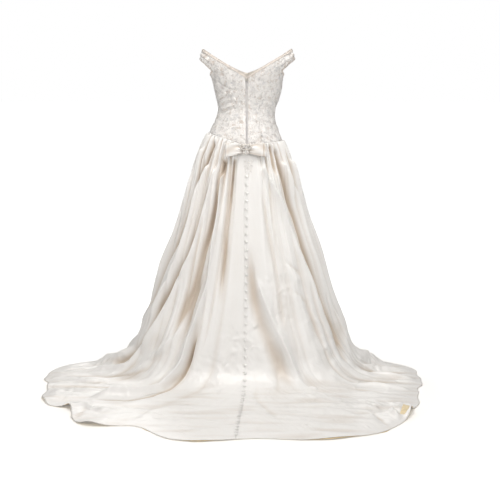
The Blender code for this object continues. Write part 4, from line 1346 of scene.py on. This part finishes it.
def bowLoop(name, side, node):
    # a band from the knot out to its fold and back behind itself
    rows, columns = 150, 44
    share, across = np.meshgrid(np.linspace(0, 1, rows), np.linspace(1, -1, columns), indexing="ij")
    reach, fold, start = bow["length"] / 2, bow["fold"], bow["knotHalf"] * 0.6
    front, back = share < 0.44, share > 0.56
    turn = math.pi * np.clip((share - 0.44) / 0.12, 0, 1)
    outward, inward = mix(start, reach - fold, share / 0.44), mix(reach - fold, start, (share - 0.56) / 0.44)
    out = np.where(front, outward, np.where(back, inward, reach - fold + fold * np.sin(turn)))
    depth = np.where(front, bow["depth"], np.where(back, 0.0, bow["depth"] * (1 + np.cos(turn)) / 2))
    outShare = out / reach
    half = mix(0.0165, bow["height"] / 2, ease(outShare * 1.35))
    rise = across * half
    # the lower edge arches over the skirt, and the upper edge sags a little
    rise = rise - 0.0030 * outShare**2 + np.where(across < 0, 0.0028 * (1 - outShare) * -across, 0)
    frontness = np.clip(depth / bow["depth"], 0, 1)
    pinch = (1 - ease(outShare * 2.2)) * 0.006
    pleats = 0.0022 * np.sin(across * 7.5 + side * 0.8) * (1 - ease(outShare * 1.25))
    pleats += 0.0013 * np.sin(across * 4 + outShare * 5 + side)
    bulge = 0.0030 * np.sin(math.pi * np.clip(outShare, 0, 1) ** 1.4) * (1 - across**2)
    crease = -0.0030 * np.exp(-(((outShare - 0.86) / 0.035) ** 2)) * (1 if side < 0 else 0.3)
    depth = depth + frontness * (bulge + pleats + crease - pinch)
    x = bow["middle"] + side * out
    z = bow["level"] + rise
    grid = np.stack([x, bowBack(x, z) + depth, z], axis=-1)
    # painted shade in the bow's pleats and crease, and more painted shade towards the knot; the whole bow is
    # tinted a little darker
    hollow = 0.22 + 190 * np.clip(0.0006 - frontness * (pleats + crease), -0.001, 0.004)
    hollow += 0.25 * (1 - ease(outShare * 3))
    if side > 0:
        grid, hollow = grid[:, ::-1], hollow[:, ::-1]
    crumpled = np.full(hollow.shape, 0.3)
    piece = clothPiece(name, grid, [satin, satin], bow["thickness"], hollow=hollow, crumple=crumpled)
    keep(piece, "satin", node)


bowLoop("bowLoopLeft", 1, "bow_loop_left")
bowLoop("bowLoopRight", -1, "bow_loop_right")

# the knot: a short band wrapped over the middle, with soft pleats
wrap, across = np.meshgrid(np.linspace(0, 1, 60), np.linspace(-1, 1, 30), indexing="ij")
turn = math.pi * (wrap * 1.16 - 0.08)
knotFront = bowBack(0, bow["level"]) + 0.001
y = knotFront + 0.0215 * np.abs(np.sin(turn)) ** 0.42 * np.sign(np.sin(turn))
z = bow["level"] + 0.0190 * np.sign(np.cos(turn)) * np.abs(np.cos(turn)) ** 0.6
pleat = 0.0009 * np.sin(across * 8.0 + 1.0) - 0.0022 * across**4
x = bow["middle"] + across * (0.0135 + 0.0012 * np.cos(2 * turn))
grid = np.stack([x, np.maximum(y + pleat, knotFront - 0.002), z], axis=-1)
# painted shade in the knot's pleats
knot = clothPiece("bowKnot", grid, [satin, satin], bow["thickness"], hollow=0.25 - 260 * pleat)
keep(knot, "satin", "bow_knot")

brooch = {"half": (0.0250, 0.0122), "rise": 0.010}
broochFace = bowBack(0, bow["level"]) + 0.0228
broochMiddle = np.array((bow["middle"], broochFace, bow["level"] + brooch["rise"]))
faceOut = np.array(((-1.0, 0, 0), (0, 0, 1.0), (0, 1.0, 0)))


def broochPart(shape, material, x, z, size, out=0.0, spin=0.0, stretch=1.0):
    turnIt = np.array(((math.cos(spin), math.sin(spin), 0), (-math.sin(spin), math.cos(spin), 0), (0, 0, 1.0)))
    axes = (turnIt @ faceOut) * np.array((size * stretch, size, size))[:, None]
    return (shape, (broochMiddle + np.array((-x, out, z)))[None], axes[None], material)


def roundBrooch(count, wide, high, shift=0.0):
    # turn, across and up of each of a ring of stones
    turns = [2 * math.pi * (i + shift) / count for i in range(count)]
    return [(turn, wide * math.cos(turn), high * math.sin(turn)) for turn in turns]


wide, high = brooch["half"]
parts = []
for turn, x, z in roundBrooch(22, wide * 0.90, high * 0.84):
    parts.append(broochPart(beadShape, pearl, x, z, 0.00165, 0.0020))
for turn, x, z in roundBrooch(12, wide * 0.62, high * 0.58, 0.5):
    parts.append(broochPart(gemShape, crystal, x, z, 0.00165, 0.0010, turn))
    parts.append(broochPart(ringShape, beadSetting, x, z, 0.0019, 0.0012))
for turn, x, z in roundBrooch(8, 0.0068, 0.0046):
    parts.append(broochPart(beadShape, pearl, x, z, 0.0014, 0.0026))
parts.append(broochPart(gemShape, crystal, 0, 0, 0.0034, 0.0015, 0.2, 1.4))
parts.append(broochPart(ringShape, beadSetting, 0, 0, 0.0036, 0.0018, 0.0, 1.45))
parts.append(broochPart(ringShape, beadSetting, 0, 0, high * 0.94, 0.0006, 0.0, wide / high))
for turn, x, z in roundBrooch(10, 0.0078, 0.0050):
    parts.append(broochPart(leaf, beadSetting, x, z, 0.0095, 0.0004, math.pi / 2 - turn, 0.42))
keep(copies("bowBrooch", parts), "beads", "bow_brooch")


def clothAt(line, down):
    # the skirt's surface and facing at any lines and levels
    base = clothBase(line, down)
    roundIt = clothBase(line + 0.1, down) - clothBase(line - 0.1, down)
    downIt = clothBase(line, down + 0.0005) - clothBase(line, down - 0.0005)
    normal = unit(np.cross(roundIt, downIt))
    return base + normal * foldRise(base, line, down)[0][..., None], normal, roundIt / 0.2, downIt / 0.001


def motifPlaces(rows):
    # across and below the centre of the motif in metres, then turn and size
    x, below, turn, size = np.array(rows, float).T
    line0, level0 = -2.6, 0.030
    _, _, roundIt, downIt = clothAt(np.full(1, line0), np.full(1, 0.045))
    line = line0 + x / np.linalg.norm(roundIt)
    level = level0 + below / np.linalg.norm(downIt)
    place, normal, roundIt, downIt = clothAt(line, level)
    up = -unit(downIt)
    side = unit(np.cross(up, normal))
    c, s = np.cos(turn)[:, None], np.sin(turn)[:, None]
    axes = np.stack([side * c - up * s, up * c + side * s, normal], axis=1)
    return place + normal * 0.0022, axes * size[:, None, None]


petals = [(0.0, 0.016, 2 * math.pi * k / 6, 0.0095) for k in range(6)]
petals += [(0.001, 0.040, 2 * math.pi * k / 6 + 0.4, 0.0085) for k in range(6)]
leaves = [
    (-0.006, 0.027, 2.0, 0.014), (0.007, 0.027, -2.0, 0.014), (-0.005, 0.050, 2.4, 0.012),
    (0.006, 0.050, -2.4, 0.012), (-0.012, 0.014, 1.2, 0.012), (0.012, 0.014, -1.2, 0.012),
    (0.0, 0.055, math.pi, 0.014),
]
beads = [(0.0, 0.016, 0, 0.0024), (0.001, 0.040, 0, 0.0022), (0.0, 0.071, 0, 0.0022)]
for x, below, wide, high, count in ((0, 0.016, 0.0135, 0.011, 12), (0.001, 0.042, 0.012, 0.010, 11)):
    for t in np.linspace(0, 5.8, count):
        beads.append((x + wide * math.cos(t), below + high * math.sin(t), 0, 0.0013))
beads += [(0.001, 0.0285, 0, 0.0015), (0.0, 0.062, 0, 0.0015), (0.0, 0.0665, 0, 0.0015)]


def narrowed(shape, width):
    return shape[0] * np.array((width, 1, 0.8)), [face[::-1] for face in shape[1]]


motif = (
    (narrowed(petal, 0.62), petals, stitch),
    (narrowed(leaf, 0.42), leaves, stitch),
    (beadShape, beads, pearl),
)
parts = [(shape, *motifPlaces(rows), material) for shape, rows, material in motif]
keep(copies("beadedMotif", parts), "beads", "lace_motif")
print("bow, brooch and motif made")


bpy.ops.mesh.primitive_plane_add(size=60, location=(0, 0, floorZ))
ground = bpy.context.active_object
ground.name = "studioFloor"
bpy.ops.object.transform_apply(location=True, rotation=True, scale=True)
# painted light: the floor glows though it is no lamp, dimmer near the gown and brighter far off, and the camera
# sees it four times as bright as the light it casts
glowingFloor = Nodes("floorGlow")
where = glowingFloor.add("ShaderNodeTexCoord").outputs["Object"]
away = glowingFloor.add("ShaderNodeVectorMath", operation="DISTANCE")
away.inputs[1].default_value = (0, 0.45, floorZ)
glowingFloor.link(where, away.inputs[0])
glow = glowingFloor.add("ShaderNodeMapRange", From_Min=0.75, From_Max=1.7, To_Min=0.18, To_Max=0.85)
glowingFloor.link(away.outputs["Value"], glow.inputs["Value"])
seen = glowingFloor.add("ShaderNodeLightPath").outputs["Is Camera Ray"]
strength = glowingFloor.math("ADD", glowingFloor.math("MULTIPLY", seen, 0.75), 0.25)
shown = glowingFloor.math("MULTIPLY", glow.outputs[0], strength)
glowingFloor.link(shown, glowingFloor.shader.inputs["Emission Strength"])
glowingFloor.finish(
    Base_Color=(0.93, 0.925, 0.915, 1), Emission_Color=(1, 1, 1, 1), Roughness=0.8, Specular_IOR_Level=0.2,
)
ground.data.materials.append(glowingFloor.material)

studio = {
    "backdrop": (1.0, 1.0, 1.0), "sky": (1.0, 0.985, 0.965), "skyStrength": 0.27,
    # name, place, aimed at, width, power, colour; the front lamp lights the front of the gown
    "lamps": (
        ("keyLamp", (-2.6, 4.6, 2.2), (0, 0.4, -0.9), 0.9, 52, (1.0, 0.99, 0.98)),
        ("fillLamp", (3.4, 4.2, 0.6), (0, 0.2, -0.7), 1.8, 27, (1.0, 0.97, 0.93)),
        ("frontLamp", (0.6, -4.6, 1.6), (0, 0, -0.5), 2.6, 46, (1.0, 0.985, 0.96)),
        ("topLamp", (0.0, 1.3, 2.4), (0, 0.85, -1.1), 2.2, 72, (1.0, 0.972, 0.935)),
    ),
}
world = bpy.data.worlds.new("studio")
bpy.context.scene.world = world
world.use_nodes = True
sky = world.node_tree.nodes["Background"]
sky.inputs[0].default_value = (*studio["sky"], 1)
sky.inputs[1].default_value = studio["skyStrength"]
paper = world.node_tree.nodes.new("ShaderNodeBackground")
paper.inputs[0].default_value = (*studio["backdrop"], 1)
eye = world.node_tree.nodes.new("ShaderNodeLightPath")
either = world.node_tree.nodes.new("ShaderNodeMixShader")
world.node_tree.links.new(eye.outputs["Is Camera Ray"], either.inputs[0])
world.node_tree.links.new(sky.outputs[0], either.inputs[1])
world.node_tree.links.new(paper.outputs[0], either.inputs[2])
world.node_tree.links.new(either.outputs[0], world.node_tree.nodes["World Output"].inputs[0])
for name, place, aim, size, power, colour in studio["lamps"]:
    lamp = bpy.data.lights.new(name, "AREA")
    lamp.shape = "DISK"
    lamp.size, lamp.energy, lamp.color = size, power, colour
    holder = bpy.data.objects.new(name, lamp)
    holder.location = place
    holder.rotation_euler = (Vector(aim) - Vector(place)).to_track_quat("-Z", "Y").to_euler()
    bpy.context.scene.collection.objects.link(holder)

view = {"distance": 5.6, "height": 1.35, "pitch": 8.5, "aside": -0.013, "lens": 95.76}
camera = bpy.data.objects.new("camera", bpy.data.cameras.new("camera"))
bpy.context.scene.collection.objects.link(camera)
camera.data.sensor_width = 36
camera.data.lens = view["lens"]
camera.location = (view["aside"], view["distance"], floorZ + view["height"])
tilt = math.radians(view["pitch"])
camera.rotation_euler = Vector((0, -math.cos(tilt), -math.sin(tilt))).to_track_quat("-Z", "Y").to_euler()
bpy.context.scene.camera = camera
bpy.context.scene.view_settings.view_transform = "Standard"
